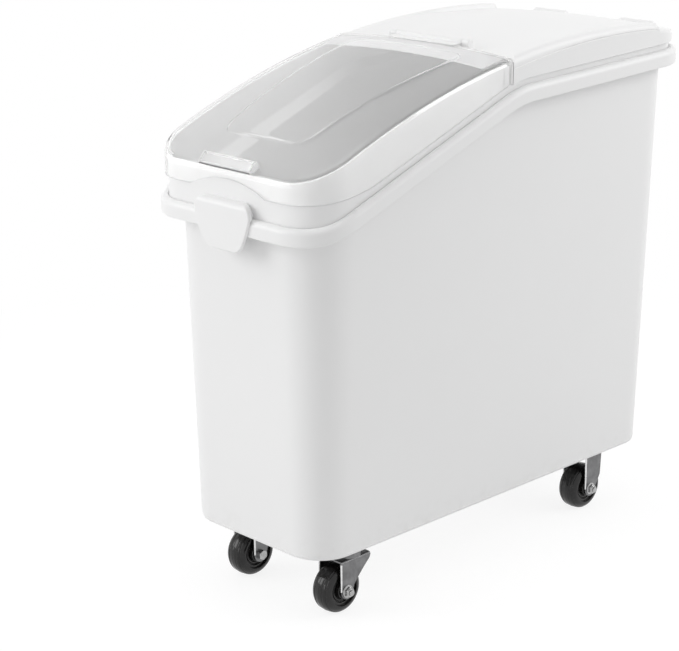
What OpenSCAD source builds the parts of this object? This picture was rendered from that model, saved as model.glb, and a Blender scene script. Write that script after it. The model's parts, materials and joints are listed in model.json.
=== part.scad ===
// Rolling ingredient bin: a drafted tub with a sloped rim, a fixed rear lid,
// a clear flip-up front lid and four casters.
// Origin on the floor under the middle of the bin, front towards -Y.

/* [Tub] */
// Length over the rim, front to back
rim_l = 748; // [700:2:800]
// Width over the rim
rim_w = 332; // [310:2:360]
// How far the rim stands out from the foot of the tub, all round
rim_reach = 34.6; // [32:0.2:40]
// Plan radius of the tub's corners at its foot
foot_r = 46; // [36:1:56]
// Plan radius of the rim's corners, along its outer face
rim_r = 68.5; // [62:0.5:76]
// Slope of the walls, degrees from upright
draft = 1.5; // [1:0.1:1.9]
// Wall thickness of the tub
wall = 4; // [3:0.5:5]
// Radius of the tub's bottom edge
foot_fillet = 12; // [9:1:16]
// Height of the rim above the underside where its slope ends
rim_bend_h = 578; // [540:1:620]
// How far the front rim lies below that
rim_drop = 131; // [122:1:138]
// Length of the level stretch at the front, before the slope starts
rim_level = 22; // [14:1:30]
// How far the rear rim lies above the end of the slope
rim_rise = 15; // [8:1:18]
// Height of the rim's turned-down lip
lip_h = 22; // [16:1:28]
// Thickness of the rim's ledge and lip
lip_t = 3.5; // [3:0.1:4.5]

/* [Handle] */
// Width of the front pull at its top
pull_w = 104; // [96:2:120]
// Width of the front pull at its foot
pull_foot_w = 84; // [66:2:90]
// Height of the front pull
pull_h = 63; // [56:1:68]
// How far the pull stands in front of the rim
pull_proud = 4; // [3:0.5:6]
// Thickness of the pull
pull_t = 5; // [4:0.5:6]
// Height of the pull's top over the rim
pull_lift = 18; // [14:0.5:20]

/* [Lids] */
// Distance from the rim's outer face in to the lids' outer face
lid_inset = 7; // [6:0.5:9]
// Thickness of both lids
lid_t = 2.6; // [2:0.1:3.2]
// Play between the lids' skirts and the curb
lid_play = 1.6; // [1:0.1:2.2]
// Length of the front lid
front_lid_l = 353; // [330:1:370]
// Gap between the two lids
lid_gap = 1.6; // [1:0.1:3]
// Height of the lids' arc above the rim's bend
lid_rise = 56; // [52:1:60]
// Height of the lids' front edge above the front rim
lid_front_rise = 57; // [53:1:61]
// Distance from the hinge back to the arc's peak
peak_back = 190; // [170:2:210]
// Radius of the lids' shoulder
shoulder_r = 10; // [8:0.5:11]
// Crown of the front lid across its width
crown = 8; // [5:0.5:9]
// Height of the front lid's raised panel
panel_rise = 2.5; // [1.5:0.1:3.5]
// Height of the rear lid's side rails
rail_h = 8; // [5:0.5:9]
// Width of the rear lid's side rails
rail_w = 14; // [10:1:18]
// Width of the hinge barrel and of the front grip
grip_w = 120; // [90:2:140]

/* [Hinge] */
// Diameter of the hinge pin
pin_d = 5; // [4:0.2:6]
// Running clearance round the pin, radial
pin_play = 0.08; // [0.05:0.01:0.1]
// Wall of the knuckles round the pin
knuckle_wall = 2.6; // [2:0.1:3]
// Width of each knuckle on the rear lid
knuckle_w = 12; // [9:1:16]
// Distance from the front lid's joint edge back to the hinge axis
hinge_back = 14; // [13:0.5:16]
// Height of the hinge axis over the lids' arc
hinge_rise = 6; // [5:0.5:7]

/* [Casters] */
// Wheel diameter
wheel_d = 68; // [64:1:74]
// Width of the tyre
tyre_w = 32; // [28:1:34]
// Distance between the left and right wheels
track = 170; // [160:2:180]
// Distance from the front of the rim back to the swivel axis
swivel_set = 124.5; // [115:0.5:140]
// Distance from the rear of the rim in to the rear axle
rear_set = 130; // [115:1:140]
// Offset of the front axle from the swivel axis
trail = 16; // [12:0.5:20]
// Thickness of the pressed steel
steel_t = 2.8; // [2.2:0.1:3.2]
// Width of a caster plate, across the bin
plate_w = 60; // [58:1:66]
// Length of a caster plate, along the bin
plate_l = 78; // [76:1:88]
// Axle diameter
axle_d = 8; // [7:0.5:9]
// Kingpin diameter
kingpin_d = 10; // [8:0.5:11]
// Diameter of the swivel balls
ball_d = 6; // [5:0.2:6.4]
// Number of swivel balls
ball_n = 14; // [10:1:16]
// Diameter of the caster screws
screw_d = 6; // [5:0.5:6.5]
// Running clearance of turning fits, radial
fit = 0.06; // [0.03:0.01:0.09]

/* [Hidden] */
$fn = 48;
// Small overlap that joins shapes of one piece
join = 0.4;
// Gap left between pieces of different bodies
gap = 0.3;

// Heights of the caster stack, from the floor up
axle_z = wheel_d / 2;
crown_gap = 7.4;
fork_top = wheel_d + crown_gap + steel_t;
race_h = 7.4;
race_top = fork_top + race_h;
race_gap = 2;
cup_h = 7.6;
plate_z = race_top + race_gap + cup_h;
deck_z = plate_z + steel_t;

// Plan positions
mid_y = pull_proud / 2;
foot_x = rim_w / 2 - rim_reach;
foot_y = rim_l / 2 - rim_reach;
front_y = mid_y - rim_l / 2;
rear_y = mid_y + rim_l / 2;
swivel_y = front_y + swivel_set;
front_axle_y = swivel_y - trail;
rear_axle_y = rear_y - rear_set;
caster_x = track / 2;

// Insets from the rim's outer face
curb_in = lid_inset + lid_t + lid_play;
lid_front_y = front_y + lid_inset;
joint_y = lid_front_y + front_lid_l;
bend_y = joint_y + hinge_back;
lid_x = rim_w / 2 - lid_inset;
lid_corner_r = rim_r - lid_inset;

// Arc that both lids follow, seen from the side
peak_y = bend_y + peak_back;
peak_z = deck_z + rim_bend_h + lid_rise;
arc_run = peak_y - lid_front_y;
lid_fall = lid_rise + rim_drop - lid_front_rise;
arc_r = (arc_run * arc_run + lid_fall * lid_fall) / (2 * lid_fall);
function arc_z(y) = peak_z - arc_r + sqrt(arc_r * arc_r - pow(y - peak_y, 2));

// Rim height along the side: level at the front, then a straight slope that bends into a gentle rise
rim_blend = 8;
function smooth_min(a, b, k) =
    let (h = max(0, min(1, 0.5 + 0.5 * (b - a) / k)))
    b + (a - b) * h - k * h * (1 - h);
function rim_slope(y) = smooth_min(
    rim_drop * (y - bend_y) / (bend_y - front_y - rim_level),
    rim_rise * (y - bend_y) / (rear_y - bend_y), rim_blend);
function rim_z(y) = deck_z + rim_bend_h - smooth_min(rim_drop, -rim_slope(y), rim_blend);
// Step from the arc down to the top of the curb: small under the front lid, larger under the rear one,
// with an eased change that ends ahead of the joint
curb_drop = 6.5;
rear_curb_drop = 16;
curb_ease_l = 55;
curb_ease_end = 45;
function curb_z(y) = arc_z(y) - curb_drop
    - (rear_curb_drop - curb_drop) * ramp((y - joint_y + curb_ease_end + curb_ease_l) / curb_ease_l);
function ramp(t) = let (c = max(0, min(1, t))) c * c * (3 - 2 * c);

// Closed plan outline as [x, y, normal x, normal y], anticlockwise from the front right
corner_n = 7;
function corner(cx, cy, r, a0) =
    [for (i = [0:corner_n]) let (a = a0 + 90 * i / corner_n)
        [cx + r * cos(a), cy + r * sin(a), cos(a), sin(a)]];
function outline(hx, y0, y1, r0, r1, side_n, end_n) = concat(
    corner(hx - r0, y0 + r0, r0, -90),
    [for (i = [1:side_n - 1]) [hx, y0 + r0 + (y1 - r1 - y0 - r0) * i / side_n, 1, 0]],
    corner(hx - r1, y1 - r1, r1, 0),
    [for (i = [1:end_n - 1]) [(hx - r1) * (1 - 2 * i / end_n), y1, 0, 1]],
    corner(-hx + r1, y1 - r1, r1, 90),
    [for (i = [1:side_n - 1]) [-hx, y1 - r1 + (y0 + r0 - y1 + r1) * i / side_n, -1, 0]],
    corner(-hx + r0, y0 + r0, r0, 180),
    [for (i = [1:end_n - 1]) [(hx - r0) * (2 * i / end_n - 1), y0, 0, -1]]);
function mean(v) = v * [for (i = v) 1] / len(v);

// Skin over a stack of rings, closed with a fan at each end
module skin(rings) {
    n = len(rings[0]);
    m = len(rings);
    points = concat([for (r = rings, p = r) p],
        [[for (k = [0:2]) mean([for (p = rings[0]) p[k]])]],
        [[for (k = [0:2]) mean([for (p = rings[m - 1]) p[k]])]]);
    faces = concat(
        [for (j = [0:n - 1]) [j, (j + 1) % n, n * m]],
        [for (i = [0:m - 2], j = [0:n - 1]) [i * n + j, (i + 1) * n + j, (i + 1) * n + (j + 1) % n]],
        [for (i = [0:m - 2], j = [0:n - 1]) [i * n + j, (i + 1) * n + (j + 1) % n, i * n + (j + 1) % n]],
        [for (j = [0:n - 1]) [(m - 1) * n + (j + 1) % n, (m - 1) * n + j, n * m + 1]]);
    polyhedron(points, faces, convexity = 8);
}

// Rings of the tub: the wall follows the foot's plan, the rim and curb follow the rim's, and each station's
// rim height is that of its outer edge
foot_plan = outline(foot_x, mid_y - foot_y, mid_y + foot_y, foot_r, foot_r, 16, 4);
rim_plan = outline(rim_w / 2, front_y, rear_y, rim_r, rim_r, 16, 4);
stations = [0:len(rim_plan) - 1];
function moved(p, d, z) = [p[0] + p[2] * d, p[1] + p[3] * d, z];
function wall_d(z) = (z - deck_z) * tan(draft);
function rim_ring(inset, rise) = [for (p = rim_plan) moved(p, -inset, rim_z(p[1]) + rise)];
function wall_ring(back, rise) = [for (i = stations) let (z = rim_z(rim_plan[i][1]) + rise)
    moved(foot_plan[i], wall_d(z) - back, z)];
function curb_ring(inset, rise) = [for (p = rim_plan) moved(p, -inset, curb_z(p[1] - p[3] * inset) + rise)];
function flat_ring(off, z) = [for (p = foot_plan) moved(p, off, z)];

// Tub shell: foot, wall, lip, ledge and curb outside, then the inside down to the floor
floor_t = wall + 1;
module tub_shell() {
    in_r = foot_fillet - wall / 2;
    floor_z = deck_z + floor_t;
    skin(concat(
        [for (a = [0:22.5:90]) flat_ring(
            wall_d(deck_z + foot_fillet) - foot_fillet * (1 - sin(a)), deck_z + foot_fillet * (1 - cos(a)))],
        [wall_ring(0, -lip_t - 1),
         rim_ring(lip_t + 0.6, -lip_t),
         rim_ring(lip_t - 0.4, -lip_h),
         rim_ring(0.8, -lip_h),
         rim_ring(0, -lip_h / 2),
         rim_ring(1.2, -lip_t * 1.4),
         rim_ring(3.6, -lip_t * 0.4),
         rim_ring(7, 0),
         rim_ring(curb_in - 2.5, 0.4),
         rim_ring(curb_in, 3),
         curb_ring(curb_in, -1.5),
         curb_ring(curb_in + 1, 0),
         curb_ring(curb_in + wall - 1, 0),
         curb_ring(curb_in + wall, -1.5),
         rim_ring(curb_in + wall, 1),
         wall_ring(wall, -lip_t - 6)],
        [for (a = [90:-22.5:0]) flat_ring(
            wall_d(floor_z + in_r) - wall - in_r * (1 - sin(a)), floor_z + in_r * (1 - cos(a)))]));
}

// Shield-shaped pull: a hood over the front rim that turns down into a plate, open behind for the fingers
pull_corner_r = 15;
pull_foot_r = 24;
pull_bend_r = 7;
hood_slant = 10;
hood_l = pull_proud + curb_in + 1 + join;
module shield() {
    r = [pull_corner_r, pull_foot_r];
    at = [[pull_w / 2 - r[0], -r[0]], [pull_foot_w / 2 - r[1], r[1] - pull_h]];
    run = at[1] - at[0];
    along = run / norm(run);
    lean = (r[0] - r[1]) / norm(run);
    out = lean * along + sqrt(1 - lean * lean) * [-along[1], along[0]];
    edge = [[at[0][0], 0], at[0] + r[0] * out, at[1] + r[1] * out, [at[1][0], -pull_h]];
    polygon(concat(edge, [for (p = reversed(edge)) [-p[0], p[1]]]));
    for (s = [-1, 1], i = [0, 1]) translate([s * at[i][0], at[i][1]]) circle(r[i]);
}
// Block with its top front edge rounded, drawn back from the origin and down
module hood_block(r) {
    translate([0, -pull_h - 1]) square([hood_l, pull_h + 1 - r]);
    translate([r, -r - join]) square([hood_l - r, r + join]);
    translate([r, -r]) circle(r);
}
module pull() {
    hood_t = pull_lift + 1;
    translate([0, front_y - pull_proud, rim_z(front_y) + pull_lift]) intersection() {
        rotate([90, 0, 90]) translate([0, 0, -pull_w / 2]) linear_extrude(pull_w) difference() {
            hood_block(pull_bend_r);
            translate([pull_t, -hood_t]) hood_block(pull_bend_r - pull_t);
        }
        rotate([90, 0, 0]) translate([0, 0, -hood_l - 1]) linear_extrude(hood_l + 2) shield();
        translate([0, 0, -pull_h - 1]) linear_extrude(pull_h + 2) polygon([[-pull_w / 2, -1], [pull_w / 2, -1],
            [pull_w / 2, pull_t], [pull_w / 2 - hood_slant, hood_l + 1],
            [hood_slant - pull_w / 2, hood_l + 1], [-pull_w / 2, pull_t]]);
    }
}

// Solid pads in the floor that hold the caster screws
pad_h = 16;
pad_edge = 7;
module at_casters() {
    for (s = [-1, 1]) {
        translate([s * caster_x, swivel_y, 0]) children();
        translate([s * caster_x, rear_axle_y, 0]) children();
    }
}
screw_x = plate_w / 2 - 7.5;
screw_y = plate_l / 2 - 8;
module at_screws() {
    at_casters() for (x = [-1, 1], y = [-1, 1]) translate([x * screw_x, y * screw_y, 0]) children();
}
insert_d = screw_d + 3;
insert_h = 10;
module bin_body() {
    color("white") difference() {
        union() {
            tub_shell();
            pull();
            at_casters() translate([0, 0, deck_z + join]) linear_extrude(pad_h)
                round_rect(plate_w, plate_l + pad_edge, plate_r);
        }
        at_screws() translate([0, 0, deck_z - 1]) cylinder(d = insert_d, h = insert_h + 3);
    }
}

// Lid surfaces; dir is 1 for the front lid and -1 for the rear one, whose joint edges face each other
front_fade = 150;
joint_r = 4;
function joint_t(p, dir) = ramp(dir * p[3] / 0.4);
function edge_r(p, dir) = shoulder_r + (joint_r - shoulder_r) * joint_t(p, dir);
function front_top(x, y) =
    arc_z(y) + crown * (0.1 + 0.9 * ramp((y - lid_front_y) / front_fade)) * (1 - pow(x / lid_x, 2));
rear_crown = 6;
function rear_top(x, y) = arc_z(y) - rail_h + rear_crown * (1 - pow(x / lid_x, 2));

// Height of the front lid's skirt edge: low along the sides, higher at the front with an arched finger
// cut, and short across the hinge edge
skirt_lift = 12;
rear_lift = 9;
front_lift = 16;
front_lift_l = 110;
lip_room = 2;
finger_w = 140;
finger_rise = 16;
function front_skirt(p) = let (x = p[0], y = p[1], lip = front_top(x, y) - edge_r(p, 1) - lip_room,
    arch = p[3] < -0.99 ? finger_rise * max(0, 1 - pow(2 * x / finger_w, 2)) : 0,
    low = rim_z(y) + skirt_lift + front_lift * ramp((lid_front_y + front_lift_l - y) / front_lift_l) + arch)
    low + (lip - low) * joint_t(p, 1);
function rear_skirt(p) = let (x = p[0], y = p[1], lip = rear_top(x, y) - edge_r(p, -1) - lip_room,
    low = rim_z(y) + rear_lift)
    low + (lip - low) * joint_t(p, -1);

joint_corner_r = 8;
front_plan = outline(lid_x, lid_front_y, joint_y, lid_corner_r, joint_corner_r, 10, 14);
rear_plan = outline(lid_x, joint_y + lid_gap, rear_y - lid_inset, joint_corner_r + 4, lid_corner_r, 10, 6);

// Point of a plan moved in by d and set at a height over the lid's top
function top_ring(plan, d, top, rise) =
    [for (p = plan) let (x = p[0] + p[2] * d, y = p[1] + p[3] * d) [x, y, top(x, y) + rise]];
// Ring shrunk towards a centre line, on the lid's top
function shrunk_ring(pts, k, yc, top, rise) =
    [for (p = pts) let (x = p[0] * k, y = yc + (p[1] - yc) * k) [x, y, top(x, y) + rise]];
function shoulder(plan, top, dir) = [for (a = [0:22.5:90]) [for (p = plan)
    let (r = edge_r(p, dir), d = r * (1 - cos(a)), x = p[0] - p[2] * d, y = p[1] - p[3] * d)
    [x, y, top(x, y) - r + r * sin(a)]]];
function seat_ring(plan, d, dir) = [for (p = plan) let (y = p[1] + p[3] * d)
    [p[0] + p[2] * d, y, arc_z(y) - (dir > 0 ? curb_drop : rear_curb_drop) + gap]];
function skirt_ring(plan, d, height) = [for (p = plan) [p[0] + p[2] * d, p[1] + p[3] * d, height(p)]];
function reversed(v) = [for (i = [len(v) - 1:-1:0]) v[i]];

// Rings of a lid from the middle of its underside, over the seating rib and skirt, to the middle of its top
rib_t = 2;
rib_d = curb_in - lid_inset + wall / 2 - rib_t / 2;
function lid_rings(plan, top, height, dir, inner, outer) = concat(
    reversed([for (r = inner) [for (p = r) [p[0], p[1], p[2] - lid_t]]]),
    [top_ring(plan, -rib_d - rib_t, top, -lid_t - 1),
     seat_ring(plan, -rib_d - rib_t, dir),
     seat_ring(plan, -rib_d, dir),
     top_ring(plan, -rib_d, top, -lid_t - 2)],
    [skirt_ring(plan, -lid_t, function(p) top(p[0], p[1]) - edge_r(p, dir)),
     skirt_ring(plan, -lid_t, height),
     skirt_ring(plan, 0, height)],
    shoulder(plan, top, dir),
    outer);

// Raised panel of the front lid: a rounded trapezium, narrower at the front
panel_front = 58;
panel_rear = 26;
panel_w = 210;
panel_taper = 0.72;
panel_r = 22;
function panel_ring(inset, rise) =
    let (y0 = lid_front_y + panel_front + inset, y1 = joint_y - panel_rear - inset)
    [for (p = outline(panel_w / 2 - inset, y0, y1, panel_r, panel_r, 10, 14))
        let (x = p[0] * (panel_taper + (1 - panel_taper) * (p[1] - y0) / (y1 - y0)))
        [x, p[1], front_top(x, p[1]) + rise]];
panel_step = 3;
panel_mid_y = (lid_front_y + panel_front + joint_y - panel_rear) / 2;

// Hinge along the joint between the lids
hinge_z = arc_z(bend_y) + hinge_rise;
web_t = 3.5;
web_back = 6;
knuckle_r = pin_d / 2 + knuckle_wall;
module along_x(w) { rotate([0, 90, 0]) translate([0, 0, -w / 2]) children(); }
module barrel(w, bore) {
    translate([0, bend_y, hinge_z]) along_x(w) difference() {
        cylinder(r = knuckle_r, h = w);
        translate([0, 0, -1]) cylinder(d = bore, h = w + 2);
    }
}
module pin_bore(w) {
    translate([0, bend_y, hinge_z]) along_x(w) cylinder(d = pin_d + 2 * pin_play, h = w);
}
module front_lid() {
    top_rings = concat([panel_ring(0, 0), panel_ring(panel_step, panel_rise)],
        [for (k = [0.6, 0.25]) shrunk_ring(panel_ring(panel_step, 0), k, panel_mid_y,
            function(x, y) front_top(x, y), panel_rise)]);
    color([0.9, 0.93, 0.95, 0.45]) difference() {
        union() {
            skin(lid_rings(front_plan, function(x, y) front_top(x, y), function(p) front_skirt(p), 1,
                top_rings, top_rings));
            barrel(grip_w, pin_d);
            translate([-grip_w / 2, joint_y - web_back, hinge_z - web_t])
                cube([grip_w, hinge_back + web_back, web_t]);
            grip();
        }
        pin_bore(grip_w + 2);
    }
}
// Grip ridge over the front shoulder: a lip below the front edge, a slope up to the crest and back down
grip_h = 9;
grip_out = 3.5;
grip_back = 13;
grip_sink = 6;
grip_share = 0.79;
module grip() {
    w = grip_w * grip_share;
    base_z = front_top(0, lid_front_y + shoulder_r);
    rotate([90, 0, 90]) translate([lid_front_y, base_z, -w / 2]) linear_extrude(w)
        polygon([[-grip_out, 1 - grip_sink], [-grip_out, -1.5], [3, grip_h - 2], [5, grip_h], [8, grip_h],
            [grip_back, 2], [grip_back, -1], [3, -grip_sink]]);
}

// Rear lid with rails along the arc and two lugs at the back
rail_in = 6;
rail_front_set = 2.4;
rail_rear_set = 65;
rail_edge = 2.5;
module rail_arc() {
    a0 = asin((joint_y + lid_gap + rail_front_set - peak_y) / arc_r);
    a1 = asin((rear_y - lid_inset - rail_rear_set - peak_y) / arc_r);
    h = rail_h + 1;
    translate([0, peak_y, peak_z - arc_r]) rotate([0, 90, 0]) rotate([0, 0, 180 - a1])
        rotate_extrude(angle = a1 - a0, $fn = 240)
            translate([arc_r - h, -rail_w / 2])
                polygon([[0, 0], [h - rail_edge, 0], [h, rail_edge], [h, rail_w - rail_edge],
                    [h - rail_edge, rail_w], [0, rail_w]]);
}
lug_x = 80;
lug_w = 60;
lug_r = 7;
lug_sink = 2;
lug_y = rear_y - lid_inset - 18;
module rear_lid() {
    top_rings = [for (k = [0.97, 0.7, 0.35]) shrunk_ring(top_ring(rear_plan, -shoulder_r - 1,
        function(x, y) rear_top(x, y), 0), k, (joint_y + rear_y) / 2, function(x, y) rear_top(x, y), 0)];
    color("white") difference() {
        union() {
            skin(lid_rings(rear_plan, function(x, y) rear_top(x, y), function(p) rear_skirt(p), -1,
                top_rings, top_rings));
            for (s = [-1, 1]) {
                translate([s * (lid_x - rail_in - rail_w / 2), 0, 0]) rail_arc();
                translate([s * lug_x, lug_y, rear_top(lug_x, lug_y) - lug_sink])
                    along_x(lug_w) cylinder(r = lug_r, h = lug_w);
                translate([s * (grip_w / 2 + gap + knuckle_w / 2), 0, 0]) {
                    barrel(knuckle_w, pin_d);
                    foot_z = rear_top(grip_w / 2, bend_y) - 1.5;
                    translate([-knuckle_w / 2, bend_y - knuckle_r, foot_z])
                        cube([knuckle_w, 2 * knuckle_r, hinge_z - foot_z]);
                }
            }
        }
        pin_bore(pin_l + 4);
    }
}
pin_l = grip_w + 2 * (gap + knuckle_w);
module lid_hinge_pin() {
    color("white") translate([0, bend_y, hinge_z]) along_x(pin_l) cylinder(d = pin_d, h = pin_l);
}

// Caster pieces, drawn about the swivel axis or the rear axle at x = 0, y = 0
zinc = [0.68, 0.69, 0.71];
black = [0.1, 0.1, 0.11];
side_room = 3.2;
leg_in = tyre_w / 2 + side_room;
leg_out = leg_in + steel_t;
bush_d = axle_d + 5;
washer_d = bush_d + 9;
washer_t = 1.6;
side_play = 0.3;
hub_half = leg_in - washer_t - side_play;
nut_d = axle_d * 1.85;
nut_h = axle_d * 0.85;
bolt_h = axle_d * 0.65;
ball_pitch = 17;
race_r = 23;
kingpin_head_d = kingpin_d + 7;
kingpin_head_h = 4;
kingpin_head_z = deck_z - kingpin_head_h - 0.5;
kingpin_nut_h = 5.4;
kingpin_nut_d = kingpin_d * 1.75;
plate_r = 8;
screw_head_d = screw_d * 1.7;
screw_head_h = 3.4;

module round_rect(w, l, r) {
    square([w - 2 * r, l], center = true);
    square([w, l - 2 * r], center = true);
    for (x = [-1, 1], y = [-1, 1]) translate([x * (w / 2 - r), y * (l / 2 - r)]) circle(r);
}
// Sheet steel bent to an upside-down U, as seen along the bin
bend_r = 6;
module bent_u(top) {
    h = top + wheel_d;
    difference() {
        union() {
            translate([-leg_out, -wheel_d]) square([2 * leg_out, h - bend_r]);
            translate([-leg_out + bend_r, top - bend_r]) square([2 * (leg_out - bend_r), bend_r]);
            for (s = [-1, 1]) translate([s * (leg_out - bend_r), top - bend_r]) circle(bend_r);
        }
        in_r = bend_r - steel_t;
        translate([-leg_in, -wheel_d - 1]) square([2 * leg_in, h + 1 - steel_t - in_r]);
        translate([-leg_in + in_r, -1]) square([2 * (leg_in - in_r), top - steel_t + 1]);
        for (s = [-1, 1]) translate([s * (leg_in - in_r), top - steel_t - in_r]) circle(in_r);
    }
}
// Bent sheet trimmed to a side outline drawn as [y, z]
module bracket_sheet(top, reach) {
    intersection() {
        rotate([90, 0, 0]) translate([0, 0, -reach]) linear_extrude(2 * reach) bent_u(top);
        rotate([90, 0, 90]) translate([0, 0, -leg_out - 1]) linear_extrude(2 * leg_out + 2) children();
    }
}
module axle_hole(y) {
    translate([0, y, axle_z]) along_x(2 * leg_out + 4) cylinder(d = axle_d, h = 2 * leg_out + 4);
}
module plate_sheet() {
    difference() {
        translate([0, 0, plate_z]) linear_extrude(steel_t) round_rect(plate_w, plate_l, plate_r);
        for (x = [-1, 1], y = [-1, 1]) translate([x * screw_x, y * screw_y, plate_z - 1])
            cylinder(d = screw_d + 0.6, h = steel_t + 2);
    }
}
module ball_groove() {
    translate([0, 0, race_top + race_gap / 2]) rotate_extrude() translate([ball_pitch, 0])
        circle(ball_d / 2 + 0.12, $fn = 32);
}
module top_plate() {
    color(zinc) difference() {
        union() {
            plate_sheet();
            translate([0, 0, plate_z - cup_h]) cylinder(r = race_r + 2, h = cup_h + join);
        }
        ball_groove();
        translate([0, 0, plate_z - cup_h - 1]) cylinder(d = kingpin_d, h = cup_h + steel_t + 2);
        translate([0, 0, kingpin_head_z]) cylinder(d = kingpin_head_d + 1, h = kingpin_head_h + 1);
    }
}
module swivel_balls() {
    color(zinc) for (i = [0:ball_n - 1]) rotate([0, 0, 360 * i / ball_n])
        translate([ball_pitch, 0, race_top + race_gap / 2]) sphere(d = ball_d, $fn = 24);
}
module kingpin() {
    foot_z = fork_top - steel_t - gap - kingpin_nut_h - 1;
    color(zinc) union() {
        translate([0, 0, foot_z]) cylinder(d = kingpin_d, h = kingpin_head_z - foot_z + join);
        translate([0, 0, kingpin_head_z]) cylinder(d = kingpin_head_d, h = kingpin_head_h);
    }
}
module kingpin_nut() {
    color(zinc) translate([0, 0, fork_top - steel_t - gap - kingpin_nut_h]) difference() {
        cylinder(d = kingpin_nut_d, h = kingpin_nut_h, $fn = 6);
        translate([0, 0, -1]) cylinder(d = kingpin_d, h = kingpin_nut_h + 2);
    }
}
leg_r = 11;
eye_in = 2;
fork_half = trail + leg_r;
crown_edge = 8;
rib_room = 12;
rib_end = 1;
module fork() {
    color(zinc) difference() {
        union() {
            bracket_sheet(fork_top, fork_half + 1) union() {
                polygon([[-fork_half, fork_top], [fork_half, fork_top], [fork_half, fork_top - crown_edge],
                    [leg_r - trail - eye_in, axle_z], [-fork_half, axle_z]]);
                translate([-trail, axle_z]) circle(leg_r);
            }
            translate([0, 0, fork_top - join]) cylinder(r = race_r, h = race_h + join);
            for (s = [-1, 1]) translate([s * leg_out, leg_r - trail, axle_z + rib_room])
                cylinder(r = 1.1, h = fork_top - axle_z - rib_room - bend_r - rib_end);
        }
        ball_groove();
        translate([0, 0, fork_top - steel_t - 1]) cylinder(d = kingpin_d + 2 * fit, h = race_h + steel_t + 2);
        axle_hole(-trail);
    }
}
rear_leg_r = 11.5;
rear_leg_back = 25;
module rear_bracket() {
    color(zinc) difference() {
        union() {
            bracket_sheet(plate_z + join, rear_leg_back + 2) union() {
                polygon([[-rear_leg_r, plate_z + join], [rear_leg_back, plate_z + join],
                    [rear_leg_back - 3, axle_z + 18], [rear_leg_r, axle_z], [-rear_leg_r, axle_z]]);
                translate([0, axle_z]) circle(rear_leg_r);
            }
            plate_sheet();
        }
        axle_hole(0);
    }
}
module axle_bolt(y) {
    color(zinc) translate([0, y, axle_z]) rotate([0, 90, 0]) {
        translate([0, 0, -leg_out - bolt_h]) cylinder(d = nut_d, h = bolt_h, $fn = 6);
        translate([0, 0, -leg_out - join]) cylinder(d = axle_d, h = 2 * leg_out + nut_h + 3);
    }
}
module axle_nut(y) {
    color(zinc) translate([0, y, axle_z]) rotate([0, 90, 0]) translate([0, 0, leg_out]) difference() {
        union() {
            cylinder(d = nut_d * 1.2, h = 1.6);
            cylinder(d = nut_d, h = nut_h * 0.75, $fn = 6);
            cylinder(d = nut_d * 0.82, h = nut_h);
        }
        translate([0, 0, -1]) cylinder(d = axle_d, h = nut_h + 2);
    }
}
module axle_washers(y) {
    color(zinc) for (s = [-1, 1]) translate([s * (leg_in - washer_t / 2), y, axle_z]) along_x(washer_t)
        difference() {
            cylinder(d = washer_d, h = washer_t);
            translate([0, 0, -1]) cylinder(d = bush_d + 2 * fit, h = washer_t + 2);
        }
}
module hub_bush(y) {
    color(zinc) translate([0, y, axle_z]) along_x(2 * leg_in) difference() {
        cylinder(d = bush_d, h = 2 * leg_in);
        translate([0, 0, -1]) cylinder(d = axle_d + 2 * fit, h = 2 * leg_in + 2);
    }
}
// Wheel profiles as [radius, half width], turned about the axle
tyre_depth = 12;
tyre_round = 11;
core_r = wheel_d / 2 - tyre_depth;
core_half = tyre_w / 2 - 3;
web_half = tyre_w / 2 - 6;
hub_r = bush_d / 2 + 5.5;
step_r = core_r - 3.4;
ring_half = web_half + 1.6;
ring_mid = (hub_r + step_r) / 2;
ring_r = [ring_mid - 1, ring_mid + 1];
bevel = 0.6;
module turned(y) {
    translate([0, y, axle_z]) rotate([0, 90, 0]) rotate_extrude() children();
}
module wheel_core(y) {
    bore_r = bush_d / 2 + fit;
    side = [[bore_r, hub_half], [hub_r, hub_half], [hub_r + bevel, web_half],
        [ring_r[0] - bevel, web_half], [ring_r[0], ring_half], [ring_r[1], ring_half],
        [ring_r[1] + bevel, web_half], [step_r - bevel, web_half], [step_r, core_half], [core_r, core_half]];
    color(black) turned(y) polygon(concat(side, [for (p = reversed(side)) [p[0], -p[1]]]));
}
module tyre(y) {
    r = wheel_d / 2;
    half = tyre_w / 2;
    arc = [for (a = [0:15:90]) [r, half] + tyre_round * [cos(a) - 1, sin(a) - 1]];
    side = concat(arc, [[core_r, half - 1.5]]);
    color(black) turned(y) polygon(concat([for (p = reversed(side)) [p[0], -p[1]]], side));
}
module caster_screws() {
    color(zinc) at_screws() {
        translate([0, 0, plate_z - screw_head_h]) cylinder(d = screw_head_d, h = screw_head_h);
        translate([0, 0, plate_z - join]) cylinder(d = screw_d, h = steel_t + insert_h - 1);
    }
}
module screw_inserts() {
    color("goldenrod") at_screws() translate([0, 0, deck_z]) difference() {
        cylinder(d = insert_d, h = insert_h);
        translate([0, 0, -1]) cylinder(d = screw_d, h = insert_h + 2);
    }
}

module front(s) { translate([s * caster_x, swivel_y, 0]) children(); }
module rear(s) { translate([s * caster_x, rear_axle_y, 0]) scale_side(s) children(); }
module scale_side(s) { mirror([s < 0 ? 1 : 0, 0, 0]) children(); }
module front_axle(s) { front(s) scale_side(s) children(); }

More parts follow.
